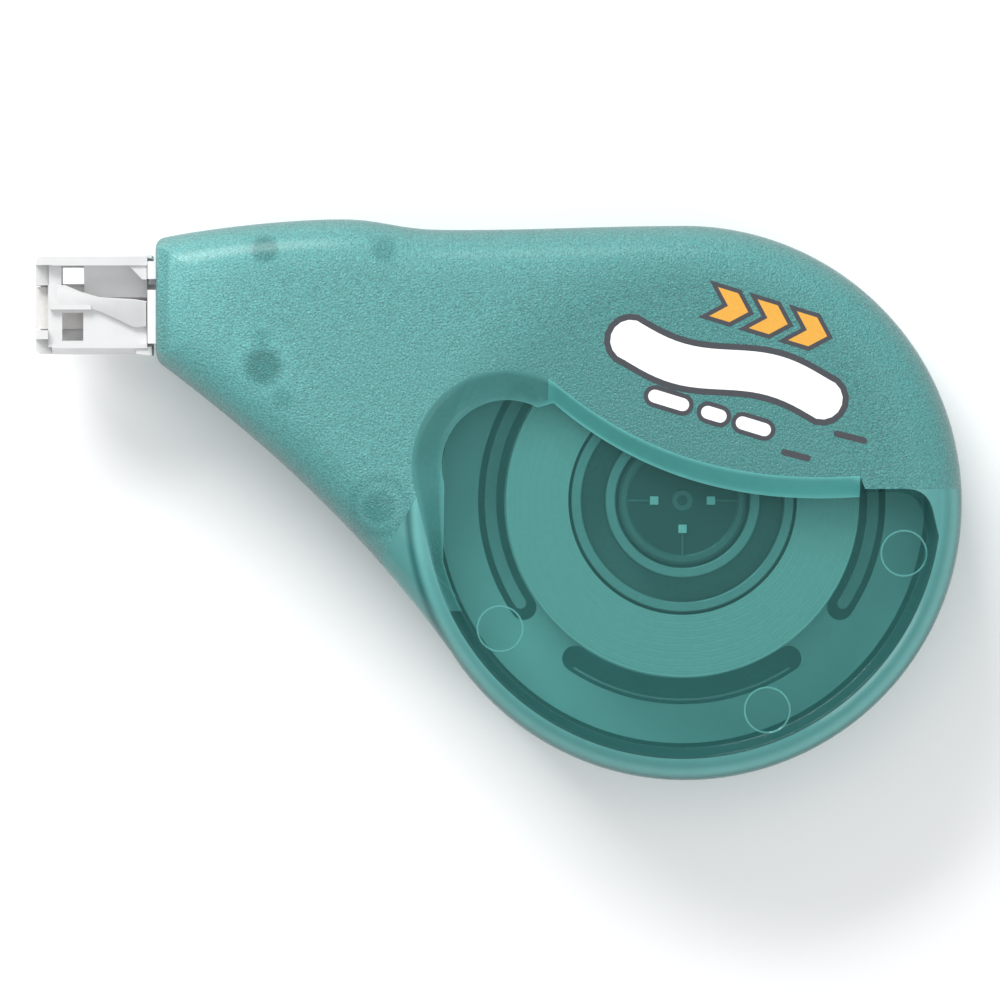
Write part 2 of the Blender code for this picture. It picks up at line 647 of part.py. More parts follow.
def make_neck(group, tools, material):
    """The sleeve that holds the head in the case's opening, with a rim inside the case."""
    neck = box("neck_sleeve", NECK_X, NECK_Y, NECK_Z, group, material)
    rim_y = (NECK_Y[0] - RIM_REACH, NECK_Y[1] + RIM_REACH)
    rim_z = (NECK_Z[0] - RIM_REACH, NECK_Z[1] + RIM_REACH)
    rim = box("neck_rim", RIM_X, rim_y, rim_z, tools)
    combine(neck, rim, "UNION")
    inner_y = (NECK_Y[0] + NECK_WALL, NECK_Y[1] - NECK_WALL)
    inner_z = (NECK_Z[0] + NECK_WALL, NECK_Z[1] - NECK_WALL)
    passage = box("neck_passage", (NECK_X[0] - MM, NECK_X[1] + MM), inner_y, inner_z, tools)
    combine(neck, passage, "DIFFERENCE")


def main():
    start_empty()
    group = make_collection("correction_tape_dispenser")
    tools = make_collection("cutters_and_guides")
    teal = make_material("teal_translucent_plastic", (0.13, 0.41, 0.39), 0.35)
    natural = make_material("natural_reel_plastic", (0.62, 0.64, 0.63), 0.40)
    grey = make_material("grey_core_plastic", (0.30, 0.32, 0.32), 0.40)
    smoke = make_material("smoke_cap_plastic", (0.14, 0.15, 0.15), 0.30)
    white = make_material("white_head_plastic", (0.88, 0.88, 0.87), 0.40)
    lilac = make_material("milky_neck_plastic", (0.82, 0.82, 0.86), 0.35)
    tape = make_material("white_correction_tape", (0.93, 0.93, 0.92), 0.60)
    film = make_material("used_backing_film", (0.80, 0.80, 0.76), 0.30)
    rubber = make_material("black_clutch_rubber", (0.03, 0.03, 0.03), 0.70)

    make_back_shell(group, tools, teal)
    make_front_shell(group, tools, teal)
    make_head(group, tools, white)
    make_neck(group, tools, lilac)
    make_takeup_reel(group, tools, natural)
    turned("takeup_film", ring_profile(USED_INNER, USED_OUTER, USED_FLOOR, TAPE_WIDTH), group, film)
    make_supply_core(group, grey)
    turned("supply_tape", ring_profile(ROLL_INNER, ROLL_OUTER, ROLL_FLOOR, TAPE_WIDTH), group, tape)
    make_bearing_cap(group, tools, smoke)
    make_clutch_ring(group, rubber)
    make_fresh_tape(group, tape)
    make_used_film(group, film)


main()
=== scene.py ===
"""Looks of the correction tape dispenser: translucent teal case, reels behind the window, white head."""

import math

import bmesh
import bpy
import numpy as np
from mathutils import Matrix, Vector, geometry


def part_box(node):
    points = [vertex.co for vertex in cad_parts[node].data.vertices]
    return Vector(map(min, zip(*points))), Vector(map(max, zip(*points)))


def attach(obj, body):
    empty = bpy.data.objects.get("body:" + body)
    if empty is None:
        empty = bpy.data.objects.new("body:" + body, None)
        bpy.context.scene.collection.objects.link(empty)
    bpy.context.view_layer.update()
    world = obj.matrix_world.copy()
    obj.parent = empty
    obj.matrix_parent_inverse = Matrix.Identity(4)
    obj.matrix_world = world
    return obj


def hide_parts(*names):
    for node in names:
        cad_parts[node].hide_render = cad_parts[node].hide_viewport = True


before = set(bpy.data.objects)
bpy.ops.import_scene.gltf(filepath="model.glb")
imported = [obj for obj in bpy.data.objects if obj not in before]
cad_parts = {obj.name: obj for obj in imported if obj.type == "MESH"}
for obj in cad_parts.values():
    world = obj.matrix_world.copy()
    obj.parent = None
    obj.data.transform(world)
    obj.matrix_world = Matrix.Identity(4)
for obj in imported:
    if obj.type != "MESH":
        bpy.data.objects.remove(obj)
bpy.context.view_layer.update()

MM = 0.001

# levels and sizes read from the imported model, in millimetres
FRONT_LOW, FRONT_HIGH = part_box("front_shell")
FRONT_DEPTH = 8.5
BROW_TOP = FRONT_HIGH.z / MM
PARTING = (FRONT_HIGH.z - FRONT_DEPTH * MM) / MM
CASE_END_X = FRONT_LOW.x / MM
BOWL_RADIUS = 27.65
BOWL_CENTRE = (FRONT_HIGH.x / MM - BOWL_RADIUS, FRONT_LOW.y / MM + BOWL_RADIUS)

# the case's shell: wall and face thickness, and how its edges round off
WALL = 1.4
SKIN = 1.3
WINDOW_SINK = 2.2
WINDOW_TOP = BROW_TOP - WINDOW_SINK
SHOULDER_WIDTH = 5.0
SHOULDER_DROP = 4.2
CROWN = 0.35
CROWN_REACH = 6.0
END_RADIUS = 1.1
EDGE_BLUR = 0.0005


# outlines, in millimetres ---------------------------------------------------------------------------------

def arc(centre, radius, start, end, count):
    """Points on an arc between two angles in degrees."""
    angles = np.radians(np.linspace(start, end, count))
    return [(centre[0] + radius * math.cos(a), centre[1] + radius * math.sin(a)) for a in angles]


def bezier(start, first, second, end, count):
    """Points on a cubic, without its last one."""
    points = []
    for step in range(count):
        t = step / count
        weights = ((1 - t) ** 3, 3 * t * (1 - t) ** 2, 3 * t * t * (1 - t), t ** 3)
        knots = (start, first, second, end)
        points.append(tuple(sum(w * k[axis] for w, k in zip(weights, knots)) for axis in (0, 1)))
    return points


def offset_path(points, distance):
    """A closed anticlockwise path moved inwards, with mitred corners."""
    path = np.array(points)
    back = path - np.roll(path, 1, axis=0)
    ahead = np.roll(path, -1, axis=0) - path
    back /= np.linalg.norm(back, axis=1)[:, None]
    ahead /= np.linalg.norm(ahead, axis=1)[:, None]
    total = np.stack((-back[:, 1] - ahead[:, 1], back[:, 0] + ahead[:, 0]), axis=1)
    scale = 2.0 * distance / (total ** 2).sum(axis=1)
    return path + total * scale[:, None]


def case_path():
    """The case's outline with sharp corners at the narrow end, and where those corners are."""
    bowl = arc(BOWL_CENTRE, BOWL_RADIUS, -145.0, 90.0, 150)
    top = bezier((0.25, 27.4), (-8.0, 27.4), (-16.0, 26.9), (-24.0, 27.0), 16)[1:]
    hump = bezier((-24.0, 27.0), (-28.5, 27.05), (-30.0, 28.05), (-34.0, 28.05), 12)
    slope = bezier((-34.0, 28.05), (-39.0, 28.05), (-46.0, 27.3), (-51.2, 26.35), 12)
    corners = [(CASE_END_X, 26.1), (CASE_END_X, 13.95)]
    flank = bezier((-51.0, 12.85), (-40.06, 4.53), (-30.4, -4.63), (-22.4, -16.1), 34)
    points = bowl + top + hump + slope + corners + flank
    first = points.index(corners[0])
    return points, (first, first + 1)


def case_outline(inset):
    """The case's outline moved inwards, with the two corners of its narrow end rounded."""
    path, corners = case_path()
    moved = offset_path(path, inset)
    radius = max(END_RADIUS - inset, 0.3)
    outline = []
    for index, point in enumerate(moved):
        if index not in corners:
            outline.append(tuple(point))
            continue
        ends = []
        for other in (moved[index - 1], moved[index + 1]):
            reach = np.linalg.norm(other - point)
            ends.append(point + (other - point) * min(radius / reach, 0.45))
        for t in np.linspace(0.0, 1.0, 7):
            outline.append(tuple((1 - t) ** 2 * ends[0] + 2 * t * (1 - t) * point + t * t * ends[1]))
    return outline


def window_outline(lip_shift, rim_shift, left_shift):
    """The window recess: lip, round left end, bowl rim and right corner, anticlockwise."""
    lip = bezier((17.6, 2.45), (3.0, 1.4), (-6.5, 6.2), (-13.4, 12.25), 40)
    lip = [(x, y - lip_shift) for x, y in lip]
    left = arc((-17.5, 3.5), 9.5 - left_shift, 62.0, 196.0, 40)
    rim = arc((0.0, 0.0), 25.7 - rim_shift, 194.0, 352.0, 110)
    edge_y = 1.15 - 0.15 * lip_shift
    corner = bezier((24.9 - rim_shift, -1.2), (24.6 - rim_shift, 0.4), (23.6 - rim_shift, edge_y),
                    (22.3 - rim_shift, edge_y), 8)
    plain_edge = bezier((22.3 - rim_shift, edge_y), (21.0 - rim_shift, edge_y), (19.4, edge_y),
                        (18.1, edge_y), 8)
    return lip + left + rim + corner + plain_edge + [(18.1, edge_y)]


MOUTH = np.array(window_outline(0.0, 0.0, 0.0))
FLOOR = np.array(window_outline(2.1, 1.1, 3.0))
OUTLINE = np.array(case_outline(0.0))


def long_sides():
    """The outline with its narrow end carried on well past the case, so only the long sides are near."""
    path, (top, bottom) = case_path()
    sides = np.array(path)
    for corner, before in ((top, top - 1), (bottom, bottom + 1)):
        away = sides[corner] - sides[before]
        sides[corner] += away * 6.0 / np.linalg.norm(away)
    return sides


SIDES = long_sides()


def distance_to(path, points):
    """Shortest distance from each point to a closed path."""
    ends = np.roll(path, -1, axis=0)
    along = ends - path
    length = (along ** 2).sum(axis=1)
    best = np.full(len(points), 1e9)
    for start, step, size in zip(path, along, length):
        share = np.clip(((points - start) @ step) / size, 0.0, 1.0)
        best = np.minimum(best, np.linalg.norm(points - start - share[:, None] * step, axis=1))
    return best


def inside(path, points):
    """Which points lie inside a closed path."""
    crossings = np.zeros(len(points), bool)
    x, y = points[:, 0], points[:, 1]
    for (x0, y0), (x1, y1) in zip(path, np.roll(path, -1, axis=0)):
        if y0 == y1:
            continue
        hit = ((y0 > y) != (y1 > y)) & (x < (x1 - x0) * (y - y0) / (y1 - y0) + x0)
        crossings ^= hit
    return crossings


def rounded_step(share):
    """0 to 1 with a straight middle and rounded ends."""
    bend = 0.22
    middle = (share - 0.5 * bend) / (1.0 - bend)
    low = share ** 2 / (2 * bend * (1 - bend))
    high = 1.0 - (1.0 - share) ** 2 / (2 * bend * (1 - bend))
    return np.where(share < bend, low, np.where(share > 1 - bend, high, middle))


def front_height(points):
    """Height of the front shell's outer face over each point, in millimetres."""
    inset = np.maximum(distance_to(SIDES, points) - EDGE_BLUR, 0.0)
    round_share = 1.0 - np.clip(inset / SHOULDER_WIDTH, 0.0, 1.0)
    shoulder = SHOULDER_DROP * (1.0 - np.sqrt(np.maximum(1.0 - round_share ** 2, 0.0)))
    crown = CROWN * np.exp(-inset / CROWN_REACH)
    from_end = np.maximum(points[:, 0] - CASE_END_X - EDGE_BLUR, 0.0)
    end_share = 1.0 - np.clip(from_end / END_RADIUS, 0.0, 1.0)
    end_drop = END_RADIUS * (1.0 - np.sqrt(np.maximum(1.0 - end_share ** 2, 0.0)))
    height = BROW_TOP - shoulder - crown - end_drop
    in_mouth = inside(MOUTH, points)
    in_floor = inside(FLOOR, points)
    to_mouth = distance_to(MOUTH, points)
    to_floor = distance_to(FLOOR, points)
    share = np.where(in_floor, 1.0, to_mouth / np.maximum(to_mouth + to_floor, 1e-9))
    share = np.where(in_mouth | in_floor, share, 0.0)
    drop = rounded_step(share)
    return height + (WINDOW_TOP - height) * drop


# mesh helpers ---------------------------------------------------------------------------------------------

def add_object(name, mesh, materials=()):
    thing = bpy.data.objects.new(name, mesh)
    bpy.context.scene.collection.objects.link(thing)
    for material in materials:
        mesh.materials.append(material)
    return thing


def smooth(thing, angle=30.0):
    thing.data.shade_smooth()
    thing.data.set_sharp_from_angle(angle=math.radians(angle))
    return thing


def bevelled(thing, width, segments=2, angle=35.0):
    modifier = thing.modifiers.new("edges", "BEVEL")
    modifier.width = width * MM
    modifier.segments = segments
    modifier.limit_method = "ANGLE"
    modifier.angle_limit = math.radians(angle)
    return thing


def to_mesh(shape, name):
    mesh = bpy.data.meshes.new(name)
    bmesh.ops.recalc_face_normals(shape, faces=shape.faces)
    shape.to_mesh(mesh)
    shape.free()
    return mesh


def loft_mesh(name, rings, materials, angle=35.0):
    """A closed solid through rings of (x, y, z) points in millimetres, all with the same count."""
    shape = bmesh.new()
    layers = [[shape.verts.new(tuple(c * MM for c in point)) for point in ring] for ring in rings]
    for below, above in zip(layers, layers[1:]):
        for index in range(len(below)):
            after = (index + 1) % len(below)
            shape.faces.new((below[index], below[after], above[after], above[index]))
    shape.faces.new(list(reversed(layers[0])))
    shape.faces.new(layers[-1])
    return smooth(add_object(name, to_mesh(shape, name), materials), angle)


def box_mesh(name, x_range, y_range, z_range, materials):
    outline = [(x_range[0], y_range[0]), (x_range[1], y_range[0]), (x_range[1], y_range[1]),
               (x_range[0], y_range[1])]
    return loft_mesh(name, [[(x, y, z) for x, y in outline] for z in z_range], materials)


def lathe(name, profile, materials, steps=180, bevel=0.08, slots=()):
    """A closed profile of (radius, height) points turned about the reels' axis; slots gives the material of
    each profile segment."""
    shape = bmesh.new()
    rings = []
    for radius, height in profile:
        ring = []
        for step in range(steps):
            angle = 2.0 * math.pi * step / steps
            x, y = radius * math.cos(angle), radius * math.sin(angle)
            ring.append(shape.verts.new((x * MM, y * MM, height * MM)))
        rings.append(ring)
    for index, ring in enumerate(rings):
        after = rings[(index + 1) % len(rings)]
        for step in range(steps):
            other = (step + 1) % steps
            made = shape.faces.new((ring[step], ring[other], after[other], after[step]))
            made.material_index = slots[index] if slots else 0
    thing = smooth(add_object(name, to_mesh(shape, name), materials), 30.0)
    if bevel:
        bevelled(thing, bevel)
    return thing


def cut(thing, tool, operation="DIFFERENCE"):
    """Apply a Boolean at once and remove its tool."""
    modifier = thing.modifiers.new("cut", "BOOLEAN")
    modifier.object = tool
    modifier.operation = operation
    modifier.solver = "EXACT"
    bpy.context.view_layer.update()
    evaluated = thing.evaluated_get(bpy.context.evaluated_depsgraph_get())
    mesh = bpy.data.meshes.new_from_object(evaluated)
    thing.modifiers.clear()
    thing.data = mesh
    bpy.data.objects.remove(tool, do_unlink=True)
    return thing


def triangulated(rings, lines, spacing, bounds_path):
    """Triangles over the inside of bounds_path; rings and open lines become edges: (points, triangles)."""
    points = []
    edges = []
    for ring in rings:
        first = len(points)
        points += [Vector(p) for p in ring]
        edges += [(first + i, first + (i + 1) % len(ring)) for i in range(len(ring))]
    for line in lines:
        edges += [(len(points) + i, len(points) + i + 1) for i in range(len(line) - 1)]
        points += [Vector(p) for p in line]
    low = bounds_path.min(axis=0)
    high = bounds_path.max(axis=0)
    grid = [(x, y) for x in np.arange(low[0] + 0.37, high[0], spacing)
            for y in np.arange(low[1] + 0.41, high[1], spacing)]
    grid = np.array(grid)
    clear = inside(bounds_path, grid)
    for ring in rings:
        clear &= distance_to(np.array(ring), grid) > 0.35 * spacing
    points += [Vector(p) for p in grid[clear]]
    found, _, faces, _, _, _ = geometry.delaunay_2d_cdt(points, edges, [], 0, 1e-5)
    flat = np.array([tuple(p) for p in found])
    faces = np.array([tuple(f) for f in faces])
    middles = flat[faces].mean(axis=1)
    return flat, faces[inside(bounds_path, middles)]


# materials ------------------------------------------------------------------------------------------------

TEAL = (0.128, 0.400, 0.385)
TINT = (0.60, 0.81, 0.80)
# painted shade takes this much more of the red away, so deeper painted shade is more saturated
DEEPER_RED = 1.8
COAT_ROUGHNESS = 0.24
GRAIN_DEPTH = 0.2 * MM


def new_material(name):
    material = bpy.data.materials.new(name)
    material.use_nodes = True
    nodes = material.node_tree.nodes
    nodes.clear()
    return material, nodes, material.node_tree.links


def add_node(nodes, kind, **values):
    """A new node; each value goes to the property, or else the input socket, of that name."""
    node = nodes.new(kind)
    for key, value in values.items():
        if hasattr(node, key):
            setattr(node, key, value)
        else:
            node.inputs[key.replace("_", " ")].default_value = value
    return node


def noise(nodes, links, scale, detail=3.0, roughness=0.5):
    """Noise over the part's own coordinates; scale is in cells per metre."""
    place = nodes.new("ShaderNodeTexCoord")
    texture = add_node(nodes, "ShaderNodeTexNoise", Scale=scale, Detail=detail, Roughness=roughness)
    links.new(place.outputs["Object"], texture.inputs["Vector"])
    return texture.outputs["Fac"]


def ramp(nodes, links, source, low, high):
    """A colour or number from low to high as source goes from 0.3 to 0.7."""
    node = nodes.new("ShaderNodeValToRGB")
    node.color_ramp.elements[0].position = 0.3
    node.color_ramp.elements[1].position = 0.7
    node.color_ramp.elements[0].color = (*low, 1.0)
    node.color_ramp.elements[1].color = (*high, 1.0)
    links.new(source, node.inputs["Fac"])
    return node.outputs["Color"]


def scaled(colour, factor):
    """The colour made lighter or darker."""
    return tuple(min(channel * factor, 1.0) for channel in colour)


def bump(nodes, links, height, strength, distance):
    node = add_node(nodes, "ShaderNodeBump", Strength=strength, Distance=distance)
    links.new(height, node.inputs["Height"])
    return node.outputs["Normal"]


def flat_distance(nodes, links, centre):
    """Distance in metres from the point (x, y) in millimetres, seen along the reels' axis."""
    place = nodes.new("ShaderNodeTexCoord")
    flatten = add_node(nodes, "ShaderNodeVectorMath", operation="MULTIPLY")
    flatten.inputs[1].default_value = (1.0, 1.0, 0.0)
    links.new(place.outputs["Object"], flatten.inputs[0])
    measure = add_node(nodes, "ShaderNodeVectorMath", operation="DISTANCE")
    measure.inputs[1].default_value = (centre[0] * MM, centre[1] * MM, 0.0)
    links.new(flatten.outputs["Vector"], measure.inputs[0])
    return measure.outputs["Value"]


def curve(nodes, links, source, stops):
    """A factor of painted shade and light that follows (distance in millimetres, value) stops; a dark one
    takes more of the red away.
    """
    widest = stops[-1][0] * MM
    share = add_node(nodes, "ShaderNodeMath", operation="DIVIDE")
    share.inputs[1].default_value = widest
    links.new(source, share.inputs[0])
    table = nodes.new("ShaderNodeValToRGB")
    elements = table.color_ramp.elements
    while len(elements) < len(stops):
        elements.new(0.5)
    for element, (distance, value) in zip(elements, stops):
        element.position = distance * MM / widest
        red = value ** DEEPER_RED if value < 1.0 else value
        element.color = (red, value, value, 1.0)
    links.new(share.outputs["Value"], table.inputs["Fac"])
    return table.outputs["Color"]


def shaded(nodes, links, colour, shades):
    """The colour times each painted shade: ((x, y), stops) round a point."""
    for centre, stops in shades:
        factor = curve(nodes, links, flat_distance(nodes, links, centre), stops)
        mix = nodes.new("ShaderNodeMix")
        mix.data_type = "RGBA"
        mix.blend_type = "MULTIPLY"
        mix.inputs["Factor"].default_value = 1.0
        links.new(colour, mix.inputs[6])
        links.new(factor, mix.inputs[7])
        colour = mix.outputs[2]
    return colour


def painted_edge_shade(nodes, links, colour, edge):
    """Painted shade: the colour, times edge where the surface turns away."""
    facing = add_node(nodes, "ShaderNodeLayerWeight", Blend=0.25)
    table = nodes.new("ShaderNodeValToRGB")
    table.color_ramp.elements[0].position = 0.07
    table.color_ramp.elements[0].color = (1.0, 1.0, 1.0, 1.0)
    table.color_ramp.elements[1].position = 0.48
    table.color_ramp.elements[1].color = (edge, edge, edge, 1.0)
    links.new(facing.outputs["Facing"], table.inputs["Fac"])
    mix = nodes.new("ShaderNodeMix")
    mix.data_type = "RGBA"
    mix.blend_type = "MULTIPLY"
    mix.inputs["Factor"].default_value = 1.0
    links.new(colour, mix.inputs[6])
    links.new(table.outputs["Color"], mix.inputs[7])
    return mix.outputs[2]


def slide(nodes, links, span, start):
    """A share that goes from start at y = span[0] to span[2] at y = span[1], in millimetres."""
    place = nodes.new("ShaderNodeTexCoord")
    split = nodes.new("ShaderNodeSeparateXYZ")
    links.new(place.outputs["Object"], split.inputs["Vector"])
    node = nodes.new("ShaderNodeMapRange")
    node.inputs["From Min"].default_value = span[0] * MM
    node.inputs["From Max"].default_value = span[1] * MM
    node.inputs["To Min"].default_value = start
    node.inputs["To Max"].default_value = span[2]
    links.new(split.outputs["Y"], node.inputs["Value"])
    return node.outputs["Result"]


def plastic(name, colour, roughness, variation, drift_scale, grain, fine_scale=6000.0, see_through=0.0,
            specular=0.5, coat=0.0, shades=(), edge=1.0, clear_below=None):
    """Moulded plastic: slight colour and roughness drift, a fine grain, painted shade and light where shades
    and edge ask for it, and for translucent plastic a share of tinted see-through."""
    material, nodes, links = new_material(name)
    output = nodes.new("ShaderNodeOutputMaterial")
    shader = nodes.new("ShaderNodeBsdfPrincipled")
    shader.inputs["Specular IOR Level"].default_value = specular
    shader.inputs["Coat Weight"].default_value = coat
    shader.inputs["Coat Roughness"].default_value = COAT_ROUGHNESS
    drift = noise(nodes, links, drift_scale)
    drifting = ramp(nodes, links, drift, scaled(colour, 1 - variation), scaled(colour, 1 + variation))
    tone = shaded(nodes, links, drifting, shades)
    # painted shade where the surface turns away
    if edge != 1.0:
        tone = painted_edge_shade(nodes, links, tone, edge)
    links.new(tone, shader.inputs["Base Color"])
    fine = noise(nodes, links, fine_scale, 2.0)
    low, high = roughness * 0.85, min(roughness * 1.15, 1.0)
    links.new(ramp(nodes, links, fine, (low,) * 3, (high,) * 3), shader.inputs["Roughness"])
    if grain:
        links.new(bump(nodes, links, fine, grain, GRAIN_DEPTH), shader.inputs["Normal"])
    surface = shader.outputs["BSDF"]
    if see_through:
        clear = nodes.new("ShaderNodeBsdfTransparent")
        clear.inputs["Color"].default_value = (*TINT, 1.0)
        mix = nodes.new("ShaderNodeMixShader")
        mix.inputs["Fac"].default_value = see_through
        if clear_below:
            links.new(slide(nodes, links, clear_below, see_through), mix.inputs["Fac"])
        links.new(surface, mix.inputs[1])
        links.new(clear.outputs["BSDF"], mix.inputs[2])
        surface = mix.outputs["Shader"]
    links.new(surface, output.inputs["Surface"])
    return material


def reel_plastic(name, colour, roughness, variation=0.03, grain=0.03):
    """The smooth plastic of the reels and the cap."""
    return plastic(name, colour, roughness, variation, 300.0, grain, fine_scale=2500.0)


# painted shade and light on the frosted face: dark patches where the reels and the bosses and pins that join
# the two shells lie under the frosting, a pale halo round one boss, the face darker round the reels and
# lighter towards the narrow end
FROST_PAINTED_SHADE = (((0.0, 0.0), ((0.0, 0.64), (21.0, 0.69), (26.5, 0.88), (40.0, 0.93), (60.0, 1.10))),
               ((-41.8, 13.4), ((0.0, 0.58), (1.4, 0.64), (1.9, 0.92), (2.5, 1.12), (3.2, 1.06), (5.0, 1.0))),
               ((-41.6, 25.0), ((0.0, 0.56), (1.0, 0.62), (1.6, 0.96), (3.0, 1.0))),
               ((-41.8, 16.2), ((0.0, 0.74), (0.6, 0.82), (1.1, 1.0), (3.0, 1.0))),
               ((-29.7, 25.0), ((0.0, 0.68), (0.8, 0.76), (1.5, 0.98), (3.0, 1.0))),
               ((-39.8, 10.2), ((0.0, 0.76), (0.7, 0.84), (1.4, 1.0), (3.0, 1.0))),
               ((-30.2, -0.6), ((0.0, 0.70), (1.4, 0.78), (1.9, 1.0), (2.7, 0.84), (3.5, 1.0))),
               ((-50.5, 20.5), ((0.0, 1.0), (3.0, 0.98), (7.0, 0.92), (9.0, 0.90), (70.0, 0.90))))
# painted light and shade on the bowl's rim, from its centre outwards: a painted highlight round the window, a
# rounded rim with a painted highlight band, and a painted dark line at its outer edge
RIM_PAINTED_LIGHT = ((BOWL_CENTRE,
                ((0.0, 1.0), (25.4, 1.0), (25.6, 1.15), (25.9, 0.98), (26.3, 0.98), (26.7, 1.2), (27.0, 1.2),
                 (27.25, 0.85), (27.5, 0.4), (27.7, 0.45), (28.1, 0.95), (60.0, 0.95))),)

# the frosted case teal, with the painted shade and light above and painted shade where its edges turn away
FROSTED = plastic("frosted_teal", scaled(TEAL, 1.03), 0.32, variation=0.33, drift_scale=5600.0, grain=1.0,
                  fine_scale=4800.0, see_through=0.10, specular=0.45, coat=0.4, shades=FROST_PAINTED_SHADE, edge=0.55)
POLISHED = plastic("polished_teal", TEAL, 0.06, variation=0.03, drift_scale=300.0, grain=0.0,
                   fine_scale=500.0, see_through=0.90)
# the lip: a lighter copy of the case teal, painted light on the step that faces away from the key lamp
LIP = plastic("lip_teal_painted_light", (0.16, 0.60, 0.57), 0.2, variation=0.03, drift_scale=500.0, grain=0.03,
              fine_scale=1500.0, see_through=0.38)
# the step round the bowl's rim: a darker copy of the case teal, painted shade of the dark band there
BAND = plastic("band_teal_painted_shade", scaled(TEAL, 0.5), 0.1, variation=0.03, drift_scale=500.0, grain=0.0,
               fine_scale=1500.0, see_through=0.70)
# the bowl's rim, with the painted highlights and dark line above and painted shade where it turns away
RIM = plastic("rim_teal", scaled(TEAL, 1.02), 0.16, variation=0.03, drift_scale=500.0, grain=0.02,
              fine_scale=1500.0, see_through=0.26, shades=RIM_PAINTED_LIGHT, edge=0.8)
# the window's sloping left end: a lighter copy of the case teal, painted light
SLOPE = plastic("slope_teal_painted_light", scaled(TEAL, 1.15), 0.28, variation=0.03, drift_scale=500.0, grain=0.02,
                fine_scale=1500.0, see_through=0.55, specular=0.3, clear_below=(-2.0, -11.0, 0.68))
# the ejector-pin rings: a lighter copy of the case teal, painted highlight on the ring lines
MOULD_RING = plastic("moulding_ring_painted_highlight", scaled(TEAL, 1.3), 0.2, variation=0.03, drift_scale=500.0,
                     grain=0.02, fine_scale=1500.0, see_through=0.55)
# the inside of the back shell: a much lighter copy of the case teal, painted light lifting the dark gap seen
# round the reels
INNER = plastic("inner_teal_painted_light", scaled(TEAL, 1.7), 0.3, variation=0.04, drift_scale=500.0, grain=0.03,
                fine_scale=1500.0, see_through=0.10)
HEAD_WHITE = plastic("head_white", (0.66, 0.66, 0.66), 0.38, variation=0.02, drift_scale=700.0, grain=0.03,
                     fine_scale=9000.0)
# milky white of its own, made lighter than the head's white: painted light lifting the shade of the crevice
# it sits in
NECK = plastic("milky_neck", (0.93, 0.93, 0.97), 0.3, variation=0.03, drift_scale=700.0, grain=0.02,
               fine_scale=5000.0)
FLANGE = reel_plastic("flange_natural", (0.77, 0.79, 0.78), 0.35, grain=0.05)
CORE = reel_plastic("core_grey", (0.21, 0.23, 0.22), 0.30)
# the core's end faces: a lighter copy of the core's grey, painted light
CORE_RIM = reel_plastic("core_rim_painted_light", (0.42, 0.44, 0.43), 0.25)
CAP = reel_plastic("cap_smoke", (0.05, 0.055, 0.05), 0.15, variation=0.04, grain=0.02)
# the cap's rings, outer side and ribs: a lighter copy of the cap's dark plastic, painted light
CAP_RING = reel_plastic("cap_ring_painted_light", (0.19, 0.20, 0.195), 0.2, variation=0.04, grain=0.02)
# the axle hooks: near white, painted glints
GLINT_HOOK = reel_plastic("axle_hook_painted_glint", (0.85, 0.90, 0.88), 0.2, grain=0.02)
# the ribs in the take-up reel's slots: a darker copy of the flange's natural plastic, painted shade in the
# slots
SLOT_RIB = reel_plastic("slot_rib_painted_shade", (0.54, 0.56, 0.55), 0.3)
TAPE = plastic("tape_white", (0.67, 0.66, 0.64), 0.65, variation=0.03, drift_scale=1800.0, grain=0.15,
               fine_scale=5200.0)
FILM = plastic("used_film", (0.70, 0.70, 0.68), 0.3, variation=0.03, drift_scale=900.0, grain=0.03,
               fine_scale=3000.0)
RUBBER = plastic("clutch_rubber", (0.03, 0.03, 0.03), 0.7, variation=0.2, drift_scale=900.0, grain=0.1,
                 fine_scale=5000.0)


# case -----------------------------------------------------------------------------------------------------

PARTING_GAP = 0.3
BACK_FLOOR = 1.4
BACK_ROUNDING = 3.0

# where the face gets rings of points: distances in from the outline, and shares of the step to the window
SHOULDER_INSETS = (0.0, 0.05, 0.15, 0.32, 0.55, 0.85, 1.2, 1.6, 2.1, 2.7, 3.4, 4.2, 5.0, 6.5, 8.5)
STEP_SHARES = (0.0, 0.05, 0.11, 0.17, 0.23, 0.5, 0.77, 0.83, 0.89, 0.95, 1.0)


def window_rings():
    """Rings down the step from the case's face to the window."""
    return [MOUTH + (FLOOR - MOUTH) * share for share in STEP_SHARES]


# where the frosting ends on either side of the bowl, where the left slope ends, and the lip's two ends
FROST_LINE_RIGHT = ((22.2, 1.15), (28.4, 1.15))
FROST_LINE_LEFT = ((-26.2, 0.9), (-31.0, -7.5))
SLOPE_END = -11.0
SLOPE_LINE = ((-23.6, SLOPE_END), (-17.0, SLOPE_END))
LIP_ENDS = (((-13.4, 12.35), (-13.4, 10.05)), ((17.6, 2.55), (17.6, 0.25)))

# the front shell's material slots, in the order that make_front_shell gives them
FROST_SLOT, WINDOW_SLOT, LIP_SLOT, RIM_SLOT, LEFT_SLOPE_SLOT, BAND_SLOT = range(6)


def on_bowl(points):
    """Which points belong to the polished bowl and not to the frosted grip and brow."""
    (x0, y0), (x1, y1) = FROST_LINE_LEFT
    right_of_line = (points[:, 0] - x0) * (y1 - y0) - (points[:, 1] - y0) * (x1 - x0) < 0.0
    return (points[:, 1] < FROST_LINE_RIGHT[0][1]) & right_of_line


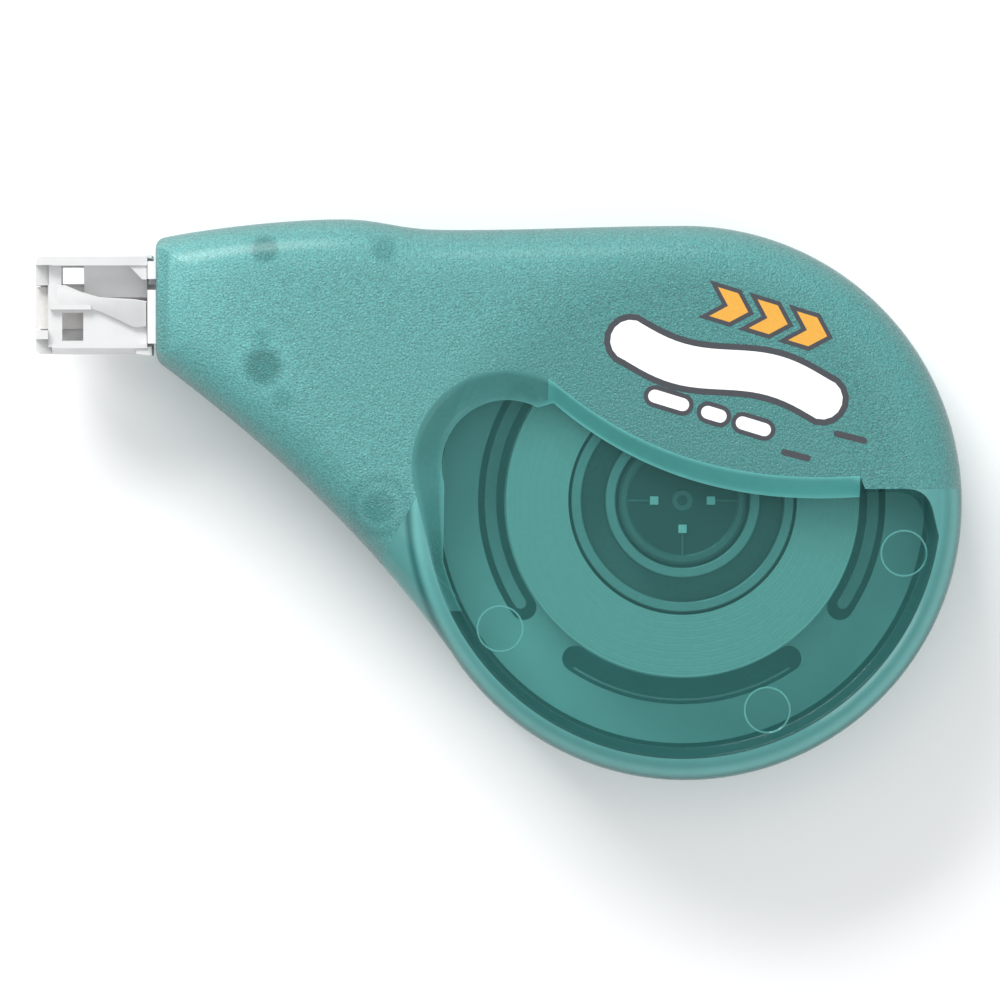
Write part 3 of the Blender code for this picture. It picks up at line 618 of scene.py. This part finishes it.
def zone(middles):
    """Material slot of each triangle of the front shell's face."""
    in_floor = inside(FLOOR, middles)
    slope = inside(MOUTH, middles) & ~in_floor
    x, y = middles[:, 0], middles[:, 1]
    lip_start, lip_end = LIP_ENDS[0][0][0], LIP_ENDS[1][0][0]
    lip = slope & (x > lip_start) & (x < lip_end) & (y > 0.0)
    left = slope & (x < lip_start) & (y > SLOPE_END)
    slots = np.where(on_bowl(middles), RIM_SLOT, FROST_SLOT)
    slots = np.where(in_floor, WINDOW_SLOT, np.where(slope, BAND_SLOT, slots))
    return np.where(left, LEFT_SLOPE_SLOT, np.where(lip, LIP_SLOT, slots))


def skin(shape, inset, lower, flip):
    """One face of the front shell: its height field inside the inset outline, lowered by lower."""
    edge = np.array(case_outline(inset))
    rings = [edge] + [np.array(case_outline(d)) for d in SHOULDER_INSETS if d > inset + 0.04]
    rings += window_rings()
    lines = (FROST_LINE_RIGHT, FROST_LINE_LEFT, SLOPE_LINE) + LIP_ENDS
    flat, faces = triangulated(rings, lines, 1.6, edge)
    heights = front_height(flat) - lower
    verts = [shape.verts.new((x * MM, y * MM, z * MM)) for (x, y), z in zip(flat, heights)]
    for face, slot in zip(faces, zone(flat[faces].mean(axis=1))):
        corners = [verts[i] for i in (reversed(face) if flip else face)]
        made = shape.faces.new(corners)
        made.material_index = int(slot)


def wall_ring(shape, inset, top_lower, bottom, levels):
    """Loops of the side wall from the height field's edge down to bottom."""
    edge = np.array(case_outline(inset))
    top = front_height(edge) - top_lower
    loops = []
    for share in np.linspace(0.0, 1.0, levels):
        loops.append([shape.verts.new((x * MM, y * MM, (z + (bottom - z) * share) * MM))
                      for (x, y), z in zip(edge, top)])
    return loops


def bridge(shape, first, second, slots, flip=False):
    """A band of faces between two loops; slots gives each face's material."""
    for index in range(len(first)):
        after = (index + 1) % len(first)
        corners = (first[index], second[index], second[after], first[after])
        made = shape.faces.new(tuple(reversed(corners)) if flip else corners)
        made.material_index = int(slots[index])


def side_slots():
    """Material slot of each face of the side wall."""
    return np.where(on_bowl(0.5 * (OUTLINE + np.roll(OUTLINE, -1, axis=0))), RIM_SLOT, FROST_SLOT)


def mouth_tool():
    """Cuts the opening for the neck through the narrow end."""
    return box_mesh("mouth_tool", (CASE_END_X - 2, CASE_END_X + 3), (15.35, 24.15), (4.1, 12.7), ())


def make_front_shell():
    shape = bmesh.new()
    skin(shape, 0.0, 0.0, False)
    skin(shape, WALL, SKIN, True)
    slots = side_slots()
    outer = wall_ring(shape, 0.0, 0.0, PARTING, 6)
    for above, below in zip(outer, outer[1:]):
        bridge(shape, above, below, slots)
    inner = wall_ring(shape, WALL, SKIN, PARTING, 6)
    for above, below in zip(inner, inner[1:]):
        bridge(shape, above, below, slots, True)
    bridge(shape, outer[-1], inner[-1], slots)
    bmesh.ops.remove_doubles(shape, verts=shape.verts, dist=1e-6)
    thing = add_object("front_case_half", to_mesh(shape, "front_case_half"),
                       (FROSTED, POLISHED, LIP, RIM, SLOPE, BAND))
    cut(thing, mouth_tool())
    smooth(thing, 40.0)
    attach(thing, "case")
    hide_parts("front_shell")
    return thing


def make_back_shell():
    top = PARTING - PARTING_GAP
    rings = []
    for angle in np.radians(np.linspace(0.0, 90.0, 10)):
        inset = BACK_ROUNDING * (1.0 - math.cos(angle))
        level = BACK_ROUNDING * (1.0 - math.sin(angle))
        rings.append([(x, y, level) for x, y in case_outline(inset)])
    rings = rings[::-1] + [[(x, y, top) for x, y in case_outline(0.0)]]
    thing = loft_mesh("back_case_half", rings, (FROSTED, INNER))
    hollow = [[(x, y, z) for x, y in case_outline(inset)]
              for inset, z in ((3.4, BACK_FLOOR), (2.2, BACK_FLOOR + 0.3), (WALL, BACK_FLOOR + 1.5),
                               (WALL, top + 2.0))]
    cut(thing, loft_mesh("hollow_tool", hollow, ()))
    cut(thing, mouth_tool())
    # the faces inside the back shell take the lighter inner teal, painted light
    within = np.array(case_outline(0.5 * WALL))
    for face in thing.data.polygons:
        middle = face.center / MM
        if middle.z > 0.5 * BACK_FLOOR and inside(within, np.array([(middle.x, middle.y)]))[0]:
            face.material_index = 1
    smooth(thing, 40.0)
    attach(thing, "case")
    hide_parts("back_shell")
    return thing


# reels ----------------------------------------------------------------------------------------------------

def curved_bar(inner, outer, middle_angle, half_angle):
    """The outline of a curved slot or rib with round ends."""
    middle = 0.5 * (inner + outer)
    start, end = middle_angle - half_angle, middle_angle + half_angle
    far = (middle * math.cos(math.radians(end)), middle * math.sin(math.radians(end)))
    near = (middle * math.cos(math.radians(start)), middle * math.sin(math.radians(start)))
    outline = arc((0.0, 0.0), outer, start, end, 40)
    outline += arc(far, 0.5 * (outer - inner), end, end + 180.0, 12)[1:-1]
    outline += arc((0.0, 0.0), inner, end, start, 40)
    return outline + arc(near, 0.5 * (outer - inner), start + 180.0, start + 360.0, 12)[1:-1]


def slab(name, outline, low, high, materials):
    """A flat solid with the given (x, y) outline."""
    return loft_mesh(name, [[(x, y, z) for x, y in outline] for z in (low, high)], materials)


def make_takeup_reel():
    """The flanged reel under the roll, with four curved slots and a rib in each."""
    low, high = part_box("takeup_reel")
    over, foot, reach = high.z / MM, low.z / MM, high.x / MM
    under = over - 0.6
    profile = ((reach, over), (reach, under), (21.5, under), (21.5, foot + 0.3), (23.2, foot + 0.3),
               (23.2, foot), (20.8, foot), (20.8, under), (4.3, under), (4.3, foot + 0.2), (3.2, foot + 0.2),
               (3.2, over))
    reel = lathe("takeup_reel_body", profile, (FLANGE,), bevel=0.0)
    for angle in (0.0, 90.0, 180.0, 270.0):
        cut(reel, slab("slot_tool", curved_bar(17.8, 20.4, angle, 34.0), under - 1.0, over + 1.0, ()))
    bevelled(smooth(reel), 0.09)
    pieces = [reel]
    wide, narrow = (18.55, 19.75), (19.8, 20.05)
    for index, (angle, radii) in enumerate(((0.0, wide), (180.0, wide), (90.0, narrow), (270.0, narrow))):
        outline = curved_bar(*radii, angle, 32.5)
        # the ribs take the darker natural plastic, painted shade in the slots
        rib = slab(f"slot_rib_{index + 1}", outline, under - 0.5, over - 0.15, (SLOT_RIB,))
        pieces.append(bevelled(rib, 0.06))
    for thing in pieces:
        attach(thing, "takeup")
    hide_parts("takeup_reel")


def make_supply():
    """The core and the roll of tape on it; the roll's face has fine ridges where the layers end."""
    low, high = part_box("supply_core")
    top, foot = high.z / MM, low.z / MM
    profile = ((11.1, top - 0.2), (11.1, foot + 0.4), (17.2, foot + 0.4), (17.2, foot), (10.1, foot),
               (10.1, 8.9), (7.7, 8.9), (7.7, foot), (6.7, foot), (6.7, top), (7.7, top), (7.7, 9.6),
               (10.1, 9.6), (10.1, top - 0.2))
    # slot 1 puts the lighter end-face grey, painted light, on the ends of the tube and the core
    slots = (0, 0, 0, 0, 0, 0, 0, 0, 0, 1, 0, 0, 0, 1)
    core = lathe("supply_core_body", profile, (CORE, CORE_RIM), bevel=0.14, slots=slots)
    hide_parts("supply_core")
    low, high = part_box("supply_tape")
    top, foot, reach = high.z / MM, low.z / MM, high.x / MM
    inner = 11.4
    section = [(inner, top), (inner, foot), (reach, foot), (reach, top)]
    steps = np.linspace(reach, inner, 26)[1:-1]
    ridges = []
    for index, radius in enumerate(steps):
        ridges += [(radius + 0.03, top), (radius, top - 0.012 - 0.008 * (index % 3)), (radius - 0.03, top)]
    roll = lathe("supply_tape_roll", section + ridges, (TAPE,), bevel=0.0)
    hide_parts("supply_tape")
    for thing, finish in ((core, "core_grey"), (roll, "tape_white")):
        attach(thing, "supply")


def make_cap():
    """The bearing cap's dished disc, with the four hooks of the axle, pale as painted glints, and a fine rib
    beyond each.
    """
    low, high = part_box("bearing_cap")
    top, foot, reach = high.z / MM, low.z / MM, high.x / MM
    profile = ((reach, top - 0.25), (reach, foot), (5.7, foot), (5.7, top - 0.8), (1.1, top - 0.8),
               (1.1, foot - 0.7), (0.0001, foot - 0.7), (0.0001, top - 0.1), (0.5, top - 0.1), (0.6, top),
               (1.0, top), (1.1, top - 0.35), (5.4, top - 0.35), (5.6, top), (6.1, top))
    # slot 1 gives the outer side, the pin ring and the outer rim the lighter grey, painted light
    slots = (1, 0, 0, 0, 0, 0, 0, 0, 1, 1, 1, 0, 1, 1, 1)
    cap = lathe("bearing_cap_body", profile, (CAP, CAP_RING), steps=144, bevel=0.03, slots=slots)
    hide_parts("bearing_cap")
    pieces = [cap]
    for index in range(4):
        turn = 90.0 * index
        # the hooks are coloured pale as painted glints
        hook = box_mesh(f"axle_hook_{index + 1}", (2.4, 3.25), (-0.42, 0.42), (top - 0.6, top + 0.1), (GLINT_HOOK,))
        # the ribs take the cap's lighter grey, painted light
        rib = box_mesh(f"cap_rib_{index + 1}", (3.2, 5.5), (-0.1, 0.1), (top - 0.6, top - 0.12), (CAP_RING,))
        for thing in (hook, rib):
            thing.data.transform(Matrix.Rotation(math.radians(turn), 4, "Z"))
            bevelled(thing, 0.05)
            pieces.append(thing)
    for thing in pieces:
        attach(thing, "case")


# head and neck --------------------------------------------------------------------------------------------

def swept(name, side, y_range, materials):
    """A solid with the given (x, z) side view, between two y levels."""
    return loft_mesh(name, [[(x, y, z) for x, z in side] for y in y_range], materials)


def ridge(name, section, x_range, materials):
    """A solid with the given (y, z) section, between two x levels."""
    return loft_mesh(name, [[(x, y, z) for y, z in section] for x in x_range], materials)


HEAD_Z = (5.0, 11.8)
HEAD_END_X = -53.4
BLADE_Z = (7.6, 8.6)
CORNER_RADIUS = 1.9
COLLAR_X = (-53.65, -52.95)


def make_frame_walls(tip):
    """The head's two side flanges, joined round the corners towards the tip, as one U with a gap for tape."""
    outer = arc((tip + 0.55, 23.8), 0.55, 90.0, 180.0, 8) + arc((tip + 0.55, 15.2), 0.55, 180.0, 270.0, 8)
    outer += [(HEAD_END_X, 14.65), (HEAD_END_X, 15.6)]
    inner = arc((-62.7, 16.2), 0.6, 270.0, 180.0, 6) + arc((-62.7, 22.85), 0.6, 180.0, 90.0, 6)
    outline = outer + inner + [(HEAD_END_X, 23.45), (HEAD_END_X, 24.35)]
    walls = slab("pressing_head", outline, *HEAD_Z, (HEAD_WHITE,))
    tip_x = (tip - 1.0, -62.9)
    cut(walls, box_mesh("tape_gap", tip_x, (17.0, 21.5), (4.0, 13.0), ()))
    for step_y in ((21.4, 23.5), (14.0, 16.1)):
        cut(walls, box_mesh("tip_step", tip_x, step_y, (9.9, 13.0), ()))
    for level, inwards, start in ((HEAD_Z[0], 1.0, 270.0), (HEAD_Z[1], -1.0, 90.0)):
        outside = level - inwards * 0.5
        centre = (tip + CORNER_RADIUS, level + inwards * CORNER_RADIUS)
        corner = [(tip - 0.2, outside), (centre[0], outside), (centre[0], level)]
        corner += arc(centre, CORNER_RADIUS, start, 180.0, 10)[1:] + [(tip - 0.2, centre[1])]
        cut(walls, swept("front_corner", corner, (14.0, 25.0), ()))
    chamfer = [(14.3, 9.6), (14.62, 9.6), (15.3, 12.2), (14.3, 12.2)]
    cut(walls, ridge("outer_chamfer", chamfer, (-65.0, -52.0), ()))
    return walls


def make_ramp():
    """The raised ramp that carries the film back; it widens and climbs towards the neck."""
    stations = np.array(((-62.4, 19.35, 21.3, 11.2, 11.25), (-60.2, 19.35, 20.8, 11.4, 11.5),
                         (-58.2, 18.8, 20.25, 11.5, 11.85), (-56.2, 17.9, 20.1, 11.5, 12.15),
                         (-54.7, 17.15, 20.05, 11.5, 12.25), (-53.5, 17.3, 19.85, 11.6, 12.25)))
    places = stations[:, 0]
    foot = 10.6
    rings = []
    for x in np.linspace(places[0], places[-1], 28):
        y0, y1, z0, z1 = (np.interp(x, places, stations[:, column]) for column in (1, 2, 3, 4))
        crest = (x, 0.5 * (y0 + y1), 0.5 * (z0 + z1) + 0.12)
        rings.append([(x, y0, foot), (x, y1, foot), (x, y1 - 0.1, z1), crest, (x, y0 + 0.1, z0)])
    return loft_mesh("ramp", rings, ())


def add_collar(head):
    """The ring at the head's end that meets the neck: two ears above, a bar below and one on each side."""
    ears = (((-54.5, 14.65), (-53.45, 14.5), (-52.95, 14.5), (-52.95, 15.35), (-54.5, 15.3)),
            ((-53.6, 24.2), (-52.95, 24.2), (-52.95, 24.45), (-53.45, 24.45), (-53.6, 24.3)))
    for ear in ears:
        cut(head, slab("ear", ear, 4.0, 11.6, ()), "UNION")
    cut(head, box_mesh("lower_bar", COLLAR_X, (14.7, 24.3), (3.6, 4.1), ()), "UNION")
    for side_y in ((14.7, 15.35), (24.15, 24.3)):
        cut(head, box_mesh("side_bar", COLLAR_X, side_y, (3.6, 11.4), ()), "UNION")


def make_head():
    low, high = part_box("applicator_head")
    tip = low.x / MM
    head = make_frame_walls(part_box("fresh_tape_run")[0].x / MM + 0.05)
    nose = arc((tip + 0.6, 0.5 * sum(BLADE_Z)), 0.5, 90.0, 270.0, 13)
    blade = [(HEAD_END_X, BLADE_Z[1])] + nose + [(HEAD_END_X, BLADE_Z[0])]
    cut(head, swept("blade", blade, (15.2, 23.85), ()), "UNION")
    cut(head, box_mesh("blade_root", (-54.4, -49.9), (16.9, 21.6), BLADE_Z, ()), "UNION")
    trough = [(23.6, 11.35), (23.1, 10.75), (22.6, 10.25), (22.0, 9.85), (21.3, 9.6), (20.3, 9.5),
              (20.1, 9.3), (23.6, 9.3)]
    cut(head, ridge("trough", trough[::-1], (-59.75, -53.45), ()), "UNION")
    plate = [(-63.3, 21.5), (-61.6, 21.5), (-60.2, 20.9), (-58.2, 20.3), (-54.7, 20.1), (-53.45, 19.9),
             (-53.45, 15.3), (-63.3, 15.3)]
    cut(head, slab("guard_plate", plate[::-1], 10.45, 11.1, ()), "UNION")
    cut(head, make_ramp(), "UNION")
    cut(head, box_mesh("rib", (-63.1, -59.0), (19.05, 19.5), (10.7, 11.7), ()), "UNION")
    cut(head, box_mesh("strut", (-63.25, -62.0), (21.2, 23.6), (10.2, 10.75), ()), "UNION")
    gusset = [(-55.2, 23.7), (-55.2, 23.4), (-53.9, 22.05), (-53.45, 22.05), (-53.45, 23.7)]
    cut(head, slab("gusset", gusset, 9.6, 11.6, ()), "UNION")
    add_collar(head)
    cut(head, box_mesh("lower_window", (-61.9, -59.8), (15.95, 18.75), (10.0, 12.5), ()))
    cut(head, box_mesh("upper_window", (-61.95, -59.8), (21.65, 23.3), (6.5, 12.5), ()))
    bevelled(smooth(head, 30.0), 0.1, 2, 30.0)
    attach(head, "case")
    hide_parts("applicator_head")


def make_neck():
    """The milky sleeve round the head's end, with a slot for the tape and a rim inside the case's mouth."""
    low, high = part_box("neck_sleeve")
    start, end = low.x / MM, high.x / MM
    neck = box_mesh("neck_tube", (start - 0.15, end), (15.65, 23.85), (4.4, 12.4), (NECK,))
    cut(neck, box_mesh("rim_ring", (-50.7, -49.6), (15.1, 24.4), (3.85, 12.95), ()), "UNION")
    cut(neck, box_mesh("passage", (start - 1.0, end + 1.0), (16.55, 22.95), (5.3, 11.5), ()))
    cut(neck, box_mesh("tape_slot", (start - 1.0, -51.6), (21.0, 22.1), (10.0, 13.0), ()))
    bevelled(smooth(neck), 0.12)
    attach(neck, "case")
    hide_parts("neck_sleeve")


def make_used_film():
    low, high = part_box("takeup_film")
    top, foot, reach = high.z / MM, low.z / MM, high.x / MM
    section = [(reach, top), (reach, foot), (21.8, foot), (21.8, top)]
    film = lathe("used_film_roll", section, (FILM,), bevel=0.1)
    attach(film, "takeup")
    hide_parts("takeup_film")


# printed marks on the brow: plain shapes with no lettering --------------------------------------------------

MARK_CENTRE = (4.3, 13.0)
MARK_TILT = -17.0
PRINT_THICKNESS = 0.012
INK_LIFT = 0.012
COLOUR_LIFT = 0.026


def placed(points, centre, turn=MARK_TILT):
    """Points turned by an angle in degrees and moved to the centre."""
    c, s = math.cos(math.radians(turn)), math.sin(math.radians(turn))
    return [(centre[0] + x * c - y * s, centre[1] + x * s + y * c) for x, y in points]


def printed(name, outline, lift, material):
    """A thin printed patch that follows the case's face, lift millimetres above it."""
    border = np.array(outline)
    flat, faces = triangulated([border], (), 0.9, border)
    heights = front_height(flat) + lift
    shape = bmesh.new()
    upper, lower = ([shape.verts.new((x * MM, y * MM, (z + rise) * MM)) for (x, y), z in zip(flat, heights)]
                    for rise in (PRINT_THICKNESS, 0.0))
    for face in faces:
        shape.faces.new([upper[i] for i in face])
        shape.faces.new([lower[i] for i in reversed(face)])
    partner = dict(zip(upper, lower))
    rim = [edge for edge in shape.edges if len(edge.link_faces) == 1 and edge.verts[0] in partner]
    for edge in rim:
        first, second = edge.verts
        shape.faces.new((first, second, partner[second], partner[first]))
    loose = [vert for vert in shape.verts if not vert.link_faces]
    for vert in loose:
        shape.verts.remove(vert)
    thing = smooth(add_object(name, to_mesh(shape, name), (material,)), 40.0)
    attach(thing, "case")
    return thing


def stripe(length, height, wave, count=24):
    """A bar with round ends whose middle line waves gently."""
    radius = 0.5 * height
    half = 0.5 * length - radius

    def middle(x):
        return wave * math.sin(math.pi * x / half)

    xs = np.linspace(-half, half, count)
    lower = [(x, middle(x) - radius) for x in xs]
    upper = [(x, middle(x) + radius) for x in xs[::-1]]
    right = [(x, y + middle(half)) for x, y in arc((half, 0.0), radius, -90.0, 90.0, 9)[1:-1]]
    left = [(x, y + middle(-half)) for x, y in arc((-half, 0.0), radius, 90.0, 270.0, 9)[1:-1]]
    return lower + right + upper + left


def chevron(length, height, point):
    """An arrow-shaped band that points along +x."""
    return [(0.0, -0.5 * height), (length, -0.5 * height), (length + point, 0.0), (length, 0.5 * height),
            (0.0, 0.5 * height), (point, 0.0)]


def make_moulding_rings():
    """The round marks that the mould's ejector pins leave on the bowl."""
    sunk, proud = -0.05, 0.04
    for index, centre in enumerate(((-18.2, -12.75), (8.4, -20.85), (22.0, -5.25))):
        small, large = (np.array(arc(centre, radius, 0.0, 360.0, 49))[:-1] for radius in (2.16, 2.34))
        shape = bmesh.new()
        loops = []
        for circle, lift in ((small, sunk), (small, proud), (large, proud), (large, sunk)):
            heights = front_height(circle) + lift
            loops.append([shape.verts.new((x * MM, y * MM, z * MM)) for (x, y), z in zip(circle, heights)])
        for near, far in zip(loops, loops[1:] + loops[:1]):
            for step in range(len(near)):
                after = (step + 1) % len(near)
                shape.faces.new((near[step], near[after], far[after], far[step]))
        # the rings take the lighter teal, a painted highlight
        ring = smooth(add_object(f"moulding_ring_{index + 1}", to_mesh(shape, "ring"), (MOULD_RING,)), 40.0)
        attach(ring, "case")


def make_marks():
    """A wavy white stripe with three arrows over it, three dashes under it and two bars beside them."""
    ink = plastic("print_dark", (0.045, 0.05, 0.06), 0.5, 0.08, 3000.0, 0.0)
    white = plastic("print_white", (0.93, 0.93, 0.93), 0.5, 0.02, 3000.0, 0.0)
    orange = plastic("print_orange", (0.74, 0.37, 0.045), 0.5, 0.04, 3000.0, 0.0)
    length, height, wave, edge = 24.6, 4.1, 0.8, 0.62
    border = stripe(length + edge, height + 2 * edge, wave)
    printed("mark_stripe_edge", placed(border, MARK_CENTRE), INK_LIFT, ink)
    printed("mark_stripe", placed(stripe(length - edge, height, wave), MARK_CENTRE), COLOUR_LIFT, white)
    arrow = chevron(2.1, 3.0, 1.5)
    for index in range(3):
        centre = placed([(-3.2 + 4.1 * index, 6.1)], MARK_CENTRE)[0]
        border = placed(offset_path(arrow, -0.42), centre)
        printed(f"mark_arrow_edge_{index + 1}", border, INK_LIFT, ink)
        printed(f"mark_arrow_{index + 1}", placed(arrow, centre), COLOUR_LIFT, orange)
    for index, (along, length) in enumerate(((-4.6, 4.2), (0.1, 2.6), (4.2, 3.6))):
        centre = placed([(along, -4.6)], MARK_CENTRE)[0]
        border = placed(stripe(length + 0.9, 2.2, 0.0, 8), centre)
        printed(f"mark_dash_edge_{index + 1}", border, INK_LIFT, ink)
        printed(f"mark_dash_{index + 1}", placed(stripe(length, 1.3, 0.0, 8), centre), COLOUR_LIFT, white)
    for index, (x, y, length) in enumerate(((16.6, 6.3, 3.4), (11.2, 4.5, 3.0))):
        bar = placed(stripe(length, 0.62, 0.0, 8), (x, y), -14.0)
        printed(f"mark_bar_{index + 1}", bar, INK_LIFT, ink)


# camera, light and floor ----------------------------------------------------------------------------------

VIEW_WIDTH = 0.100
VIEW_CENTRE = (-0.01820, 0.00005)
OUTLINE_LEVEL = 0.009
CAMERA_DISTANCE = 1.2
SENSOR_WIDTH = 36.0


def make_camera():
    """Looks straight down; the frame is 100 mm across at the level of the case's widest outline."""
    data = bpy.data.cameras.new("camera")
    camera = bpy.data.objects.new("camera", data)
    bpy.context.scene.collection.objects.link(camera)
    data.sensor_width = SENSOR_WIDTH
    data.lens = SENSOR_WIDTH * CAMERA_DISTANCE / VIEW_WIDTH
    data.clip_start = 0.01
    data.clip_end = 10.0
    camera.location = (*VIEW_CENTRE, OUTLINE_LEVEL + CAMERA_DISTANCE)
    bpy.context.scene.camera = camera


def area_light(name, location, size, power, target=(-0.012, 0.0, 0.01)):
    """A rectangular lamp that faces the target; metres and watts."""
    data = bpy.data.lights.new(name, "AREA")
    data.shape = "RECTANGLE"
    data.size, data.size_y = size
    data.energy = power
    lamp = bpy.data.objects.new(name, data)
    lamp.location = location
    direction = Vector(target) - Vector(location)
    lamp.rotation_euler = direction.to_track_quat("-Z", "Y").to_euler()
    bpy.context.scene.collection.objects.link(lamp)


def make_floor():
    mesh = bpy.data.meshes.new("floor")
    shape = bmesh.new()
    bmesh.ops.create_grid(shape, x_segments=1, y_segments=1, size=1.5)
    shape.to_mesh(mesh)
    shape.free()
    floor = add_object("floor", mesh, (plastic("floor_paper", (0.97, 0.97, 0.97), 0.9, 0.005, 40.0, 0.0),))
    floor.location.z = -0.1 * MM


def make_studio():
    """A large lamp overhead, a key from the upper left, a weaker one opposite, and a pale world."""
    area_light("key_light", (-0.30, 0.56, 0.40), (0.5, 0.25), 5.5)
    area_light("top_light", (0.0, 0.0, 1.1), (1.2, 1.2), 3.1)
    area_light("side_light", (0.6, -0.5, 0.45), (0.5, 0.4), 1.9, (0.02, -0.02, 0.01))
    world = bpy.data.worlds.new("studio")
    world.use_nodes = True
    world.node_tree.nodes["Background"].inputs["Color"].default_value = (0.97, 0.98, 1.0, 1.0)
    world.node_tree.nodes["Background"].inputs["Strength"].default_value = 0.52
    bpy.context.scene.world = world
    bpy.context.scene.view_settings.view_transform = "Standard"


def assign_cad_materials():
    """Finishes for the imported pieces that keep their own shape."""
    finishes = {"clutch_ring": RUBBER, "fresh_tape_run": TAPE, "used_film_run": FILM}
    for name, material in finishes.items():
        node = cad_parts[name]
        node.data.materials.clear()
        node.data.materials.append(material)
        smooth(node, 30.0)


make_camera()
make_floor()
make_studio()
assign_cad_materials()
make_front_shell()
make_back_shell()
make_takeup_reel()
make_supply()
make_cap()
make_used_film()
make_head()
make_neck()
make_moulding_rings()
make_marks()

bpy.context.view_layer.update()
